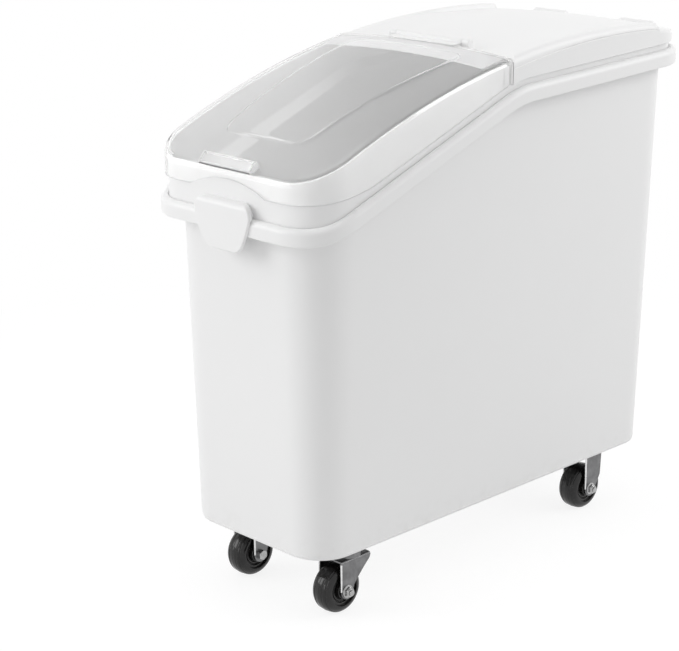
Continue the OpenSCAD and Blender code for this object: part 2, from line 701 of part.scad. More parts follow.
bin_body();
rear_lid();
front_lid();
lid_hinge_pin();
caster_screws();
screw_inserts();
front(1) top_plate();  // front_right_top_plate
front(1) swivel_balls();  // front_right_swivel_balls
front(1) kingpin();  // front_right_kingpin
front(1) kingpin_nut();  // front_right_kingpin_nut
front(1) fork();  // front_right_fork
front_axle(1) axle_bolt(-trail);  // front_right_axle_bolt
front_axle(1) axle_nut(-trail);  // front_right_axle_nut
front_axle(1) axle_washers(-trail);  // front_right_axle_washers
front_axle(1) hub_bush(-trail);  // front_right_hub_bush
front_axle(1) wheel_core(-trail);  // front_right_wheel_core
front_axle(1) tyre(-trail);  // front_right_tyre
front(-1) top_plate();  // front_left_top_plate
front(-1) swivel_balls();  // front_left_swivel_balls
front(-1) kingpin();  // front_left_kingpin
front(-1) kingpin_nut();  // front_left_kingpin_nut
front(-1) fork();  // front_left_fork
front_axle(-1) axle_bolt(-trail);  // front_left_axle_bolt
front_axle(-1) axle_nut(-trail);  // front_left_axle_nut
front_axle(-1) axle_washers(-trail);  // front_left_axle_washers
front_axle(-1) hub_bush(-trail);  // front_left_hub_bush
front_axle(-1) wheel_core(-trail);  // front_left_wheel_core
front_axle(-1) tyre(-trail);  // front_left_tyre
rear(1) rear_bracket();  // rear_right_bracket
rear(1) axle_bolt(0);  // rear_right_axle_bolt
rear(1) axle_nut(0);  // rear_right_axle_nut
rear(1) axle_washers(0);  // rear_right_axle_washers
rear(1) hub_bush(0);  // rear_right_hub_bush
rear(1) wheel_core(0);  // rear_right_wheel_core
rear(1) tyre(0);  // rear_right_tyre
rear(-1) rear_bracket();  // rear_left_bracket
rear(-1) axle_bolt(0);  // rear_left_axle_bolt
rear(-1) axle_nut(0);  // rear_left_axle_nut
rear(-1) axle_washers(0);  // rear_left_axle_washers
rear(-1) hub_bush(0);  // rear_left_hub_bush
rear(-1) wheel_core(0);  // rear_left_wheel_core
rear(-1) tyre(0);  // rear_left_tyre
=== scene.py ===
import json
import math

import bpy
import numpy as np
from mathutils import Matrix, Vector


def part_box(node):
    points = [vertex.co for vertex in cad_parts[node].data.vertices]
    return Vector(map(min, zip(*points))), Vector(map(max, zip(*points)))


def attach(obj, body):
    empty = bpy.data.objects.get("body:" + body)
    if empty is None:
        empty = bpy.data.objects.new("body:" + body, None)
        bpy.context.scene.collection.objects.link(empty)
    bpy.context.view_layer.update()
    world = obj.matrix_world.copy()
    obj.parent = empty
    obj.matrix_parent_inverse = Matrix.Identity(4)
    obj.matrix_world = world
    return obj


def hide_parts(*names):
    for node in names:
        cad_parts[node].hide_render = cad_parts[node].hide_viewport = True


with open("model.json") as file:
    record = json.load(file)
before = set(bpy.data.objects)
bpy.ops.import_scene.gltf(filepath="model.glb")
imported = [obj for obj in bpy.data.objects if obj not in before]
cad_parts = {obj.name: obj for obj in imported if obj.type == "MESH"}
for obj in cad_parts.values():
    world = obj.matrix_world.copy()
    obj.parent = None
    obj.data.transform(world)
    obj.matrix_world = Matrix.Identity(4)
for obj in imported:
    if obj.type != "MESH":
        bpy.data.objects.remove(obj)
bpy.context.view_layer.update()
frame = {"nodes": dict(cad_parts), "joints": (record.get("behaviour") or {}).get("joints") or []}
scene = bpy.context.scene
scene.view_settings.view_transform = "Standard"
mm = 0.001  # sizes are written in millimetres, meshes are made in metres


# A joint's anchor point, in millimetres
def anchorOf(joint):
    found = next(j for j in frame["joints"] if j["name"] == joint)
    return np.array(found["pos_m"]) / mm


# Shader sockets

class Link:
    # one socket; arithmetic on it adds Math nodes to its tree
    def __init__(self, tree, socket=None):
        self.tree = tree
        self.socket = socket

    # any node: its type, values or links for its inputs, and its settings, which are set first
    def node(self, kind, inputs=None, output=0, **settings):
        made = self.tree.nodes.new("ShaderNode" + kind)
        for key, value in settings.items():
            if key == "stops":
                self.setStops(made.color_ramp, value)
            else:
                setattr(made, key, value)
        for key, value in (inputs or {}).items():
            if isinstance(value, Link):
                self.tree.links.new(value.socket, made.inputs[key])
            else:
                made.inputs[key].default_value = value
        return Link(self.tree, made.outputs[output] if len(made.outputs) else None)

    def setStops(self, colourRamp, stops):
        while len(colourRamp.elements) < len(stops):
            colourRamp.elements.new(0.5)
        for element, (place, colour) in zip(colourRamp.elements, stops):
            element.position = place
            element.color = (*colour, 1.0)

    def calc(self, operation, first, second=0.0):
        return self.node("Math", {0: first, 1: second}, operation=operation)

    def clamped(self):
        return self.node("Clamp", {"Value": self})

    def __add__(self, other): return self.calc("ADD", self, other)
    def __radd__(self, other): return self.calc("ADD", other, self)
    def __sub__(self, other): return self.calc("SUBTRACT", self, other)
    def __rsub__(self, other): return self.calc("SUBTRACT", other, self)
    def __mul__(self, other): return self.calc("MULTIPLY", self, other)
    def __rmul__(self, other): return self.calc("MULTIPLY", other, self)
    def __truediv__(self, other): return self.calc("DIVIDE", self, other)
    def __rtruediv__(self, other): return self.calc("DIVIDE", other, self)


def newFinish(name):
    finish = bpy.data.materials.new(name)
    finish.use_nodes = True
    finish.node_tree.nodes.clear()
    return finish, Link(finish.node_tree)


def grey(tone):
    return (tone, tone, tone)


def objectPlace(kit):
    return kit.node("TexCoord", None, "Object")


# Noise on Object coordinates, after a stretch along each axis
def grain(kit, scale, detail=2.0, stretch=(1.0, 1.0, 1.0)):
    stretched = kit.node("Mapping", {"Vector": objectPlace(kit), "Scale": stretch})
    return kit.node("TexNoise", {"Vector": stretched, "Scale": scale, "Detail": detail})


def mixTone(kit, factor, first, tone):
    return kit.node("Mix", {"Factor": factor, "A": first, "B": (*tone, 1.0)}, 2, data_type="RGBA")


def bumped(kit, strength, distance, height):
    return kit.node("Bump", {"Strength": strength, "Distance": distance, "Height": height})


def addSurface(kit, inputs):
    shader = kit.node("BsdfPrincipled", inputs)
    kit.node("OutputMaterial", {"Surface": shader})


# Moulded white plastic: cloudy tone, faint orange peel, dust in specks below dustTop
def whitePlastic(name, look):
    finish, kit = newFinish(name)
    cloud = grain(kit, look["cloudScale"], 4.0)
    peel = grain(kit, look["peelScale"], 3.0)
    tone = kit.node("ValToRGB", {"Fac": cloud}, stops=[(0.3, look["shade"]), (0.7, look["white"])])
    height = kit.node("SeparateXYZ", {"Vector": objectPlace(kit)}, "Z")
    low = ((look["dustTop"] - height) / look["dustDepth"]).clamped()
    speck = (grain(kit, look["speckScale"], 5.0) * 3.0 - 1.5).clamped()
    rough = look["rough"] + look["roughSpread"] * (cloud - 0.5) + look["dustRough"] * low * speck
    addSurface(kit, {"Base Color": mixTone(kit, low * speck * look["dust"], tone, look["dustTone"]),
                     "Roughness": rough, "Normal": bumped(kit, look["peel"], 0.0004, peel), "IOR": 1.5,
                     "Specular IOR Level": look["shine"]})
    return finish


# Clear moulded plastic: smooth glass that lets lamplight through, with painted shade: greyer where the distance to
# the lid's rounded outline is small (the skirt) and darker where seen edge on; frosted at the cut edge of the joint
def clearPlastic(name, look):
    finish, kit = newFinish(name)
    haze = grain(kit, look["hazeScale"], 5.0)
    wave = grain(kit, look["waveScale"], 1.0)
    tint = kit.node("ValToRGB", {"Fac": haze}, stops=[(0.35, look["tint"]), (0.75, look["clear"])])
    place = objectPlace(kit)
    x, y = (kit.node("SeparateXYZ", {"Vector": place}, axis) for axis in "XY")
    halfX, midY, halfY, r = look["outline"]
    overX = kit.calc("MAXIMUM", kit.calc("ABSOLUTE", x) - (halfX - r), 0.0)
    overY = kit.calc("MAXIMUM", kit.calc("ABSOLUTE", y - midY) - (halfY - r), 0.0)
    reach = kit.calc("SQRT", overX * overX + overY * overY)
    # painted shade: the skirt, within skirtIn of the lid's outline, is tinted greyer
    nearEdge = ((reach - (r - look["skirtIn"])) / look["skirtIn"]).clamped()
    # painted shade: a darker tone where the surface is seen edge on
    edgeOn = kit.calc("POWER", kit.node("LayerWeight", {"Blend": 0.5}, "Facing"), look["rimPower"])
    skirtShadeTint = mixTone(kit, nearEdge, tint, look["skirt"])
    glass = kit.node("BsdfPrincipled", {
        "Base Color": mixTone(kit, edgeOn * look["rim"], skirtShadeTint, look["rimShadeTone"]),
        "Roughness": look["rough"] + look["roughSpread"] * haze, "Normal": bumped(kit, look["wave"], 0.0006, wave),
        "IOR": look["ior"], "Transmission Weight": look["through"], "Coat Weight": look["coat"],
        "Coat IOR": 1.5, "Coat Roughness": 0.03})
    frosted = kit.node("BsdfPrincipled", {"Base Color": (*look["frostTone"], 1.0), "Roughness": 0.45})
    frost = ((y - look["frostStart"]) / look["frostL"]).clamped() * look["frost"]
    body = kit.node("MixShader", {0: frost, 1: glass, 2: frosted})
    passing = kit.node("BsdfTransparent", {"Color": (*look["lampTint"], 1.0)})
    lamp = kit.node("LightPath", None, "Is Shadow Ray")
    both = kit.node("MixShader", {0: lamp, 1: body, 2: passing})
    kit.node("OutputMaterial", {"Surface": both})
    return finish


# Plated or bare metal: cloudy tone, a drawn grain along one axis, smudged roughness
def platedMetal(name, look):
    finish, kit = newFinish(name)
    cloud = grain(kit, look["cloudScale"], 4.0)
    drawn = grain(kit, look["grainScale"], 2.0, look["stretch"])
    tone = kit.node("ValToRGB", {"Fac": cloud}, stops=[(0.3, look["dark"]), (0.72, look["light"])])
    rough = look["rough"] + look["roughSpread"] * (cloud - 0.5) + 0.1 * (drawn - 0.5)
    addSurface(kit, {"Base Color": tone, "Metallic": 1.0, "Roughness": rough,
                     "Normal": bumped(kit, look["grain"], 0.0002, drawn)})
    return finish


# Black rubber or plastic of a wheel: fine rings round the axle from the distance to it, pores and smudges
def blackWheel(name, look, axle):
    finish, kit = newFinish(name)
    centred = kit.node("Mapping", {
        "Vector": objectPlace(kit), "Location": (0.0, -axle[1] * mm, -axle[2] * mm), "Scale": (0.0, 1.0, 1.0)})
    radius = kit.node("VectorMath", {0: centred}, "Value", operation="LENGTH")
    rings = kit.calc("SINE", radius * look["ringPitch"]) * 0.5 + 0.5
    pores = grain(kit, look["poreScale"], 3.0)
    smudge = grain(kit, look["smudgeScale"], 4.0)
    tone = kit.node("ValToRGB", {"Fac": smudge}, stops=[(0.35, look["dark"]), (0.75, look["light"])])
    addSurface(kit, {"Base Color": tone, "Roughness": look["rough"] + look["roughSpread"] * (smudge - 0.5),
                     "Normal": bumped(kit, look["pore"], 0.0003, pores + rings * look["ring"]),
                     "Specular IOR Level": look["shine"]})
    return finish


tubLook = dict(white=grey(0.935), shade=grey(0.918), dustTone=(0.62, 0.61, 0.59), cloudScale=3.0, peelScale=420.0,
    peel=0.05, speckScale=60.0, dust=0.25, dustRough=0.15, dustTop=0.135, dustDepth=0.04, rough=0.4,
    roughSpread=0.08, shine=0.45)
lidLook = dict(tubLook, white=grey(0.93), shade=grey(0.915), dust=0.0, rough=0.34, peel=0.04)
# outline: half width, middle, half length and corner of the clear lid in plan, in metres
# the skirt and rim tones are painted shade: a greyer skirt and a darker tone where the lid is seen edge on
clearLook = dict(clear=grey(0.966), tint=grey(0.95), lampTint=grey(0.965), hazeScale=9.0, waveScale=30.0,
    wave=0.04, rough=0.02, roughSpread=0.03, ior=1.12, through=0.88, coat=0.7,
    outline=(0.159, -0.1885, 0.1765, 0.0615), skirtIn=0.008, skirt=grey(0.87), rim=0.45, rimPower=7.0,
    rimShadeTone=grey(0.4), frostTone=grey(0.92), frostStart=-0.0175, frostL=0.003, frost=0.85)
# the sheet zinc's dark tone stands in for the dark surroundings it reflects: painted reflection
sheetLook = dict(dark=(0.155, 0.155, 0.158), light=(0.24, 0.24, 0.244), cloudScale=90.0, grainScale=160.0,
    stretch=(6.0, 6.0, 0.4), grain=0.08, rough=0.36, roughSpread=0.2)
fastenerLook = dict(sheetLook, dark=grey(0.36), light=grey(0.52), rough=0.28, grain=0.05, stretch=(1.0, 4.0, 4.0))
tyreLook = dict(dark=(0.007, 0.0065, 0.0065), light=(0.014, 0.013, 0.0125), poreScale=900.0, smudgeScale=55.0,
    ringPitch=4200.0, ring=0.5, pore=0.04, rough=0.13, roughSpread=0.1, shine=0.42)
coreLook = dict(tyreLook, dark=(0.01, 0.009, 0.009), light=(0.02, 0.019, 0.018), rough=0.15)

tubWhite = whitePlastic("tubWhite", tubLook)
lidWhite = whitePlastic("lidWhite", lidLook)
# grey of the skirt's edge bead: painted shade
paintedEdgeShade = whitePlastic("paintedEdgeShade", dict(lidLook, white=(0.76, 0.76, 0.77), shade=(0.7, 0.7, 0.71)))
# near-black of the bead under the grip: a painted shadow
paintedFootShadow = whitePlastic("paintedFootShadow", dict(lidLook, white=grey(0.12), shade=grey(0.08)))
# pale grey of the hinge leaf: painted shade of the white plastic under the clear lid
leafShadeGrey = whitePlastic("leafShadeGrey", dict(lidLook, white=(0.6, 0.6, 0.605), shade=(0.56, 0.56, 0.565)))
lidClear = clearPlastic("lidClear", clearLook)
# the grip's lighter skirt tone and weaker rim are painted shade too
gripClear = clearPlastic("gripClear", dict(clearLook, ior=1.15, through=0.72, coat=1.0, skirt=grey(0.96), rim=0.2))
zincSheet = platedMetal("zincSheet", sheetLook)
zincFastener = platedMetal("zincFastener", fastenerLook)
# bright zinc of the legs' front edges: a painted highlight
zincEdgeHighlight = platedMetal("zincEdgeHighlight", dict(fastenerLook, dark=grey(0.72), light=grey(0.86)))
insertBrass = platedMetal("insertBrass", dict(fastenerLook, dark=(0.55, 0.4, 0.16), light=(0.74, 0.56, 0.26)))
print("finishes ready")


# Surfaces

# Smooth step from 0 to 1
def ramp(t):
    c = np.clip(t, 0.0, 1.0)
    return c * c * (3.0 - 2.0 * c)


# The smaller of two heights, blended over the width k where they cross
def smoothMin(a, b, k):
    h = np.clip(0.5 + 0.5 * (b - a) / k, 0.0, 1.0)
    return b + (a - b) * h - k * h * (1.0 - h)


# Cosines and sines of even steps round a circle
def circle(count):
    angle = np.linspace(0.0, 2 * math.pi, count, endpoint=False)
    return np.cos(angle), np.sin(angle)


# Angles of a quarter turn
def quarter(count):
    return np.linspace(0.0, math.pi / 2, count)


def joined(*parts, axis=0):
    return np.concatenate(parts, axis)


# Points from three coordinates, each spread over the rows and columns of the others
def xyz(x, y, z):
    return np.stack(np.broadcast_arrays(x, y, z), -1)


# Rounded rectangle in plan from the front right: quarter circles and straight runs, as x, y and outward normal
def planOutline(halfX, yFront, yRear, rFront, rRear, steps):
    cornerN, sideN, endN = steps
    front, rear = (yFront + rFront, rFront), (yRear - rRear, rRear)
    corners = []
    for k, (side, (y, r)) in enumerate([(1, front), (1, rear), (-1, rear), (-1, front)]):
        turn = quarter(cornerN + 1) + (k - 1) * math.pi / 2
        c, s = np.cos(turn), np.sin(turn)
        corners.append(np.stack([side * (halfX - r) + r * c, y + r * s, c, s], 1))
    parts = []
    for k, count in enumerate([sideN, endN, sideN, endN]):
        start, end = corners[k][-1], corners[(k + 1) % 4][0]
        parts += [corners[k], start + (end - start) * (np.arange(1, count) / count)[:, None]]
    return np.concatenate(parts)


# Corners of a section (corner, station, coordinates), each turned into a circular arc: a rational quadratic
# between its tangent points, with a row before and after it that keeps the sides' shading flat
def roundSection(corners, radii, arcSteps=6, closed=False, hold=0.5, most=0.78):
    count = len(corners)
    rows = [] if closed else [corners[:1]]
    share = np.linspace(0.0, 1.0, arcSteps + 1)[:, None, None]
    for i in range(0 if closed else 1, count if closed else count - 1):
        here = corners[i]
        if np.all(np.asarray(radii[i]) == 0):
            rows.append(here[None])
            continue
        back, ahead = corners[i - 1] - here, corners[(i + 1) % count] - here
        backL, aheadL = (np.linalg.norm(way, axis=-1, keepdims=True) for way in (back, ahead))
        cosine = np.sum(back * ahead, -1, keepdims=True) / (backL * aheadL)
        half = 0.5 * np.arccos(np.clip(cosine, -1.0, 1.0))
        back, ahead = back / backL, ahead / aheadL
        radius = np.broadcast_to(np.asarray(radii[i], float), here.shape[:1])[:, None]
        reach = np.minimum(radius / np.tan(half), most * np.minimum(backL, aheadL))
        start, end = here + back * reach, here + ahead * reach
        a, b, c = (1 - share) ** 2, 2 * np.sin(half)[None] * share * (1 - share), share ** 2
        rows += [(start + back * np.minimum(hold, 0.03 * backL))[None],
                 (a * start + b * here + c * end) / (a + b + c),
                 (end + ahead * np.minimum(hold, 0.03 * aheadL))[None]]
    if not closed:
        rows.append(corners[-1:])
    return np.concatenate(rows)


# The same for one closed loop of points
def roundLoop(points, radii, arcSteps):
    return roundSection(np.array(points, float)[:, None, :], radii, arcSteps, closed=True)[:, 0]


# A section corner at every station of a plan: set out along the normals by d, at height z
def corner(plan, d, z):
    return xyz(plan[:, 0] + plan[:, 2] * d, plan[:, 1] + plan[:, 3] * d, z)


# Closed skin over a grid: columns wrap, rows wrap too or end in a fan. The enclosed volume's sign turns it outwards.
def skin(points, wrapRows=False):
    rows, cols = points.shape[:2]
    flat = points.reshape(-1, 3)
    i = np.arange(rows if wrapRows else rows - 1)[:, None] * cols
    below = (i + cols) % (rows * cols)
    j = np.arange(cols)
    after = (j + 1) % cols
    quads = np.stack([i + j, i + after, below + after, below + j], -1).reshape(-1, 4)
    fans = np.zeros((0, 3), int)
    if not wrapRows:
        flat = joined(flat, points[:1].mean(1), points[-1:].mean(1))
        last = (rows - 1) * cols
        fans = joined(np.stack([after, j, np.full(cols, rows * cols)], 1),
                      np.stack([last + j, last + after, np.full(cols, rows * cols + 1)], 1))
    triangles = joined(quads[:, :3], quads[:, [0, 2, 3]], fans)
    a, b, c = (flat[triangles[:, k]] - flat.mean(0) for k in range(3))
    if np.sum(a * np.cross(b, c)) < 0:
        quads, fans = quads[:, ::-1], fans[:, ::-1]
    return flat, quads, fans


def addObject(name, data):
    added = bpy.data.objects.new(name, data)
    scene.collection.objects.link(added)
    return added


# One object from closed skins, riding on a body
def makePiece(name, skins, finish, body, replaced=(), sharpAngle=38.0):
    points, faces, offset = [], [], 0
    for flat, quads, fans in skins:
        points.append(flat)
        faces += (quads + offset).tolist() + (fans + offset).tolist()
        offset += len(flat)
    mesh = bpy.data.meshes.new(name)
    mesh.from_pydata((np.concatenate(points) * mm).tolist(), [], faces)
    mesh.shade_smooth()
    mesh.set_sharp_from_angle(angle=math.radians(sharpAngle))
    mesh.materials.append(finish)
    piece = addObject(name, mesh)
    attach(piece, body)
    if replaced:
        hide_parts(*replaced)


# A ring's points drawn in towards a middle point, once for each share
def drawnIn(ring, middle, shares):
    return middle + (ring - middle) * np.asarray(shares)[:, None, None]


# A closed profile of radius and x, rounded and turned about an axle parallel to X
def turned(profile, radii, axle, columns=96, arcSteps=5):
    loop = roundLoop(profile, radii, arcSteps)
    r, x = loop[:, :1], loop[:, 1:]
    c, s = circle(columns)
    return skin(xyz(axle[0] + x, axle[1] + r * c, axle[2] + r * s), True)


# Tub: a drafted shell whose rim slopes at the front, with a turned-down lip and an upright curb

pull = dict(width=104.0, footWidth=84.0, height=63.0, proud=4.0, thick=5.0, lift=18.0, cornerR=15.0, footR=24.0,
    bendR=7.0, edgeR=2.2, slant=10.0, plateSlant=3.0, bulge=0.8)
tub = dict(reach=34.6, footFrontR=52.0, footRearR=44.0, rimPlanR=68.5, draft=1.5, wall=4.0, floor=5.0,
    floorIn=38.0, bandH=4.6, bandIn=1.6, bandLine=0.6, bendH=578.0, drop=131.0, level=22.0, rise=15.0, blend=8.0,
    lipH=22.0, lipT=3.5, rimR=8.0, curbIn=11.2, grooveW=1.5, grooveH=2.4, steps=(22, 130, 40))
lids = dict(inset=7.0, thick=2.6, gap=0.3, rise=56.0, frontRise=57.0, peakBack=190.0, jointR=4.0, jointCorner=0.7,
    jointBlend=0.4, lipRoom=2.0, crown=8.0, topIn=16.0, curbDrop=6.5, rearCurbDrop=16.0, easeL=9.0,
    hingeBack=14.0, ribT=2.0, ribIn=5.2, seat=0.3)

tubLow, tubHigh = (np.array(end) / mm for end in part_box("bin_body"))
hinge = anchorOf("front_lid_flip")
deckZ = tubLow[2]
rearY = tubHigh[1]
frontY = tubLow[1] + pull["proud"]
midY = (frontY + rearY) / 2
bendY = hinge[1]
footX = tubHigh[0] - tub["reach"]
footY = (rearY - frontY) / 2 - tub["reach"]
lidX = tubHigh[0] - lids["inset"]
lidFrontY = frontY + lids["inset"]
lidRearY = rearY - lids["inset"]
lidCornerR = tub["rimPlanR"] - lids["inset"]
jointY = bendY - lids["hingeBack"]
peakY = bendY + lids["peakBack"]
peakZ = deckZ + tub["bendH"] + lids["rise"]
lidFall = lids["rise"] + tub["drop"] - lids["frontRise"]
arcR = ((peakY - lidFrontY) ** 2 + lidFall ** 2) / (2 * lidFall)


# Side arc of both lids: a circle of radius arcR whose top is at peakY
def arcZ(y):
    return peakZ - arcR + np.sqrt(arcR ** 2 - (y - peakY) ** 2)


# Rim height: level at the front, then a straight slope that bends into a gentle rise, blended at both bends
def rimZ(y):
    slope = tub["drop"] * (y - bendY) / (bendY - frontY - tub["level"])
    rise = tub["rise"] * (y - bendY) / (rearY - bendY)
    climb = smoothMin(slope, rise, tub["blend"])
    return deckZ + tub["bendH"] - smoothMin(tub["drop"], -climb, tub["blend"])


# Top of the curb: just under the front lid, then eased down ahead of the joint
def curbZ(y):
    ease = ramp((y - jointY + lids["easeL"]) / lids["easeL"])
    return arcZ(y) - lids["curbDrop"] - (lids["rearCurbDrop"] - lids["curbDrop"]) * ease


# Section from the foot up the wall, leaning out from the foot's plan, over lip, rim and curb on the rim's own plan,
# and down the inside to the floor
def tubSkin():
    foot = planOutline(footX, midY - footY, midY + footY, tub["footFrontR"], tub["footRearR"], tub["steps"])
    rim = planOutline(tubHigh[0], frontY, rearY, tub["rimPlanR"], tub["rimPlanR"], tub["steps"])
    lean = math.tan(math.radians(tub["draft"]))
    wall, lipT, lipH, curbIn = tub["wall"], tub["lipT"], tub["lipH"], tub["curbIn"]
    grooveW, grooveH, line = tub["grooveW"], tub["grooveH"], tub["bandLine"]
    ledge = rimZ(rim[:, 1])

    def onRim(inset, lift):
        return corner(rim, -inset, ledge + lift)

    def onCurb(inset):
        return corner(rim, -inset, curbZ(rim[:, 1] - rim[:, 3] * inset))

    def onWall(back, z):
        return corner(foot, (z - deckZ) * lean - back, z)

    floorZ, band = deckZ + tub["floor"], deckZ + tub["bandH"]
    corners = [corner(foot, -tub["floorIn"], deckZ), onWall(tub["bandIn"], deckZ), onWall(0.0, band),
               onWall(line, band + line), onWall(0.0, band + 2.5 * line), onWall(0.0, ledge - lipT - 1.0),
               onRim(lipT + 0.3, -lipT), onRim(lipT - 0.4, -lipH), onRim(0.6, -lipH), onRim(0.0, 0.2),
               onRim(curbIn - grooveW, 0.4), onRim(curbIn - 0.8 * grooveW, -grooveH), onRim(curbIn, -grooveH),
               onCurb(curbIn), onCurb(curbIn + wall), onRim(curbIn + wall, -1.0),
               onWall(wall, ledge - lipT - 8.0), onWall(wall, floorZ), corner(foot, -tub["floorIn"], floorZ)]
    radii = [0, 2.2, 0.5, 0.3, 0.6, 5.0, 2.5, 0.9, 1.8, tub["rimR"], 0.4, 0.3, 0.3, 1.4, 1.4, 5.0, 5.0, 10.0, 0]
    rows = roundSection(np.stack(corners), radii, 8)
    shares = [0.15, 0.45, 0.75]
    under = drawnIn(rows[0], np.array([0.0, midY, deckZ]), shares)
    inside = drawnIn(rows[-1], np.array([0.0, midY, floorZ]), shares[::-1])
    return skin(joined(under, rows, inside))


# Pull: level rings stacked downwards. The half width follows a shield, two round corners joined by a bulging tangent,
# the face bends back into the top by a quarter circle, and the back steps from the curb to behind the plate.
def pullSkin():
    r0, r1, high, bend, e = (pull[k] for k in ("cornerR", "footR", "height", "bendR", "edgeR"))
    top = np.array([pull["width"] / 2 - r0, -r0])
    foot = np.array([pull["footWidth"] / 2 - r1, r1 - high])
    run = np.linalg.norm(foot - top)
    along = (foot - top) / run
    lean = (r0 - r1) / run
    out = lean * along + math.sqrt(1.0 - lean ** 2) * np.array([-along[1], along[0]])
    sideTop, sideFoot = top + r0 * out, foot + r1 * out

    # how far a circle of radius r reaches at the distance d from its middle
    def chord(r, d):
        return np.sqrt(np.maximum(r ** 2 - d ** 2, 0.0))

    hood = pull["lift"] + 1.0
    a = quarter(12)
    upper = joined(bend * (1 - np.cos(a)), np.linspace(bend, hood, 8)[1:])
    fall = joined(upper, np.linspace(hood, high - e, 46), high - e + e * np.sin(a)[1:])
    share = (-fall - sideTop[1]) / (sideFoot[1] - sideTop[1])
    bulge = pull["bulge"] * np.sin(math.pi * np.clip(share, 0, 1))
    straight = sideTop[0] + (sideFoot[0] - sideTop[0]) * share + bulge
    half = np.where(share < 0, top[0] + chord(r0, fall - r0),
                    np.where(share > 1, foot[0] + chord(r1, fall - high + r1), straight))
    faceY = frontY - pull["proud"]
    tuck = e - chord(e, np.maximum(fall - high + e, 0.0))
    front = faceY + bend - chord(bend, np.maximum(bend - fall, 0.0)) + tuck
    hooded = np.arange(len(fall)) < len(upper)
    back = np.where(hooded, frontY + tub["curbIn"] + 1.5, faceY + pull["thick"] - 0.8 * tuck)
    waist = np.minimum(front + pull["thick"], back)
    narrow = half - np.where(hooded, pull["slant"], pull["plateSlant"])
    right = [np.stack([half, front], -1), np.stack([half, waist], -1), np.stack([narrow, back], -1)]
    left = [p * np.array([-1.0, 1.0]) for p in right[::-1]]
    loop = roundSection(np.stack(right + left), [e, e * 0.8, 0.4, 0.4, e * 0.8, e], 7, closed=True)
    z = rimZ(np.array(frontY)) + pull["lift"] - fall
    return skin(xyz(loop[..., 0], loop[..., 1], z).transpose(1, 0, 2))


# Rounded block: a plan carried up, with its top edge turned over by edgeR
def slabSkin(plan, lowZ, highZ, edgeR):
    section = np.stack([corner(plan, -edgeR, lowZ), corner(plan, 0.0, lowZ), corner(plan, 0.0, highZ),
                        corner(plan, -edgeR * 2, highZ)])
    return skin(roundSection(section, [0, edgeR * 0.2, edgeR, 0], 5))


casters = dict(plate=(60.0, 78.0), plateR=8.0, padGrow=7.0, padH=16.0, padEdge=3.5)
trackHalf, swivelY = anchorOf("front_right_swivel_turn")[:2]
frontAxle = anchorOf("front_right_wheel_spin")
rearAxle = anchorOf("rear_right_wheel_spin")


def platePlan(x, y, grow):
    halfW, halfL = casters["plate"][0] / 2, (casters["plate"][1] + grow) / 2
    plan = planOutline(halfW, -halfL, halfL, casters["plateR"], casters["plateR"], (8, 4, 4))
    return plan + np.array([x, y, 0.0, 0.0])


def padSkin(x, y):
    plan = platePlan(x, y, casters["padGrow"])
    return slabSkin(plan, deckZ + 1.0, deckZ + casters["padH"], casters["padEdge"])


pads = [padSkin(s * trackHalf, y) for s in (-1, 1) for y in (swivelY, rearAxle[1])]
makePiece("tub", [tubSkin()] + pads, tubWhite, "bin", ["bin_body"])
makePiece("frontPull", [pullSkin()], tubWhite, "bin")
print("tub ready")


# Lids: a skirt over the curb, a rounded shoulder and a top that follows the arc

frontLid = dict(shoulderR=10.0, fade=150.0, skirtLift=12.0, frontLift=16.0, liftL=110.0, fingerW=140.0,
    fingerRise=16.0, bead=0.45, panelFront=58.0, panelRear=26.0, panelW=210.0, panelTaper=0.72, panelR=22.0,
    panelStep=3.0, panelRise=2.5, steps=(18, 60, 64))
rearLid = dict(shoulderR=14.5, shoulderRear=8.0, shoulderEnd=3.5, ledge=1.0, skirtLift=9.0, crown=6.0, drop=8.0,
    fall=5.0, fallL=80.0, railIn=16.0, railWall=3.5, railRear=74.0, railEnd=7.0, dishStart=90.0, dishL=150.0,
    lugX=80.0, lugW=60.0, lugR=7.0, lugBack=18.0, lugSink=2.0, steps=(18, 110, 40))


# Top of the front lid: the arc with a crown across it that fades out towards the front edge
def frontTop(x, y):
    fade = 0.1 + 0.9 * ramp((y - lidFrontY) / frontLid["fade"])
    return arcZ(y) + lids["crown"] * fade * (1.0 - (x / lidX) ** 2)


# How far behind the end of the rear lid's rails a point lies, eased from 0 to 1
def pastRail(y):
    return ramp((y - lidRearY + rearLid["railRear"]) / rearLid["railEnd"])


# Top of the rear lid: the arc along its sides and a lower, crowned middle. The rise between them steepens into
# rails towards the back; behind these the lid falls off.
def rearTop(x, y):
    middle = rearLid["crown"] * (1.0 - (x / lidX) ** 2) - rearLid["drop"]
    fall = rearLid["fall"] * np.maximum(0.0, 1.0 - (lidRearY - y) / rearLid["fallL"]) ** 2
    edge = lidX - rearLid["railIn"]
    gentle = ramp((np.abs(x) - 0.5 * edge) / (0.5 * edge))
    steep = ramp((np.abs(x) - edge) / rearLid["railWall"] + 1.0)
    dish = ramp((y - jointY - rearLid["dishStart"]) / rearLid["dishL"])
    side = (gentle + (steep - gentle) * dish) * (1.0 - pastRail(y))
    return arcZ(y) + middle * (1.0 - side) - fall


def frontShoulder(y):
    return frontLid["shoulderR"] + 0.0 * y


# Shoulder radius along the rear lid: wide at the joint, narrower towards the back, small behind the rails
def rearShoulder(y):
    share = np.clip((y - jointY) / (lidRearY - rearLid["railRear"] - jointY), 0.0, 1.0)
    along = rearLid["shoulderR"] + (rearLid["shoulderRear"] - rearLid["shoulderR"]) * share
    return along + (rearLid["shoulderEnd"] - along) * pastRail(y)


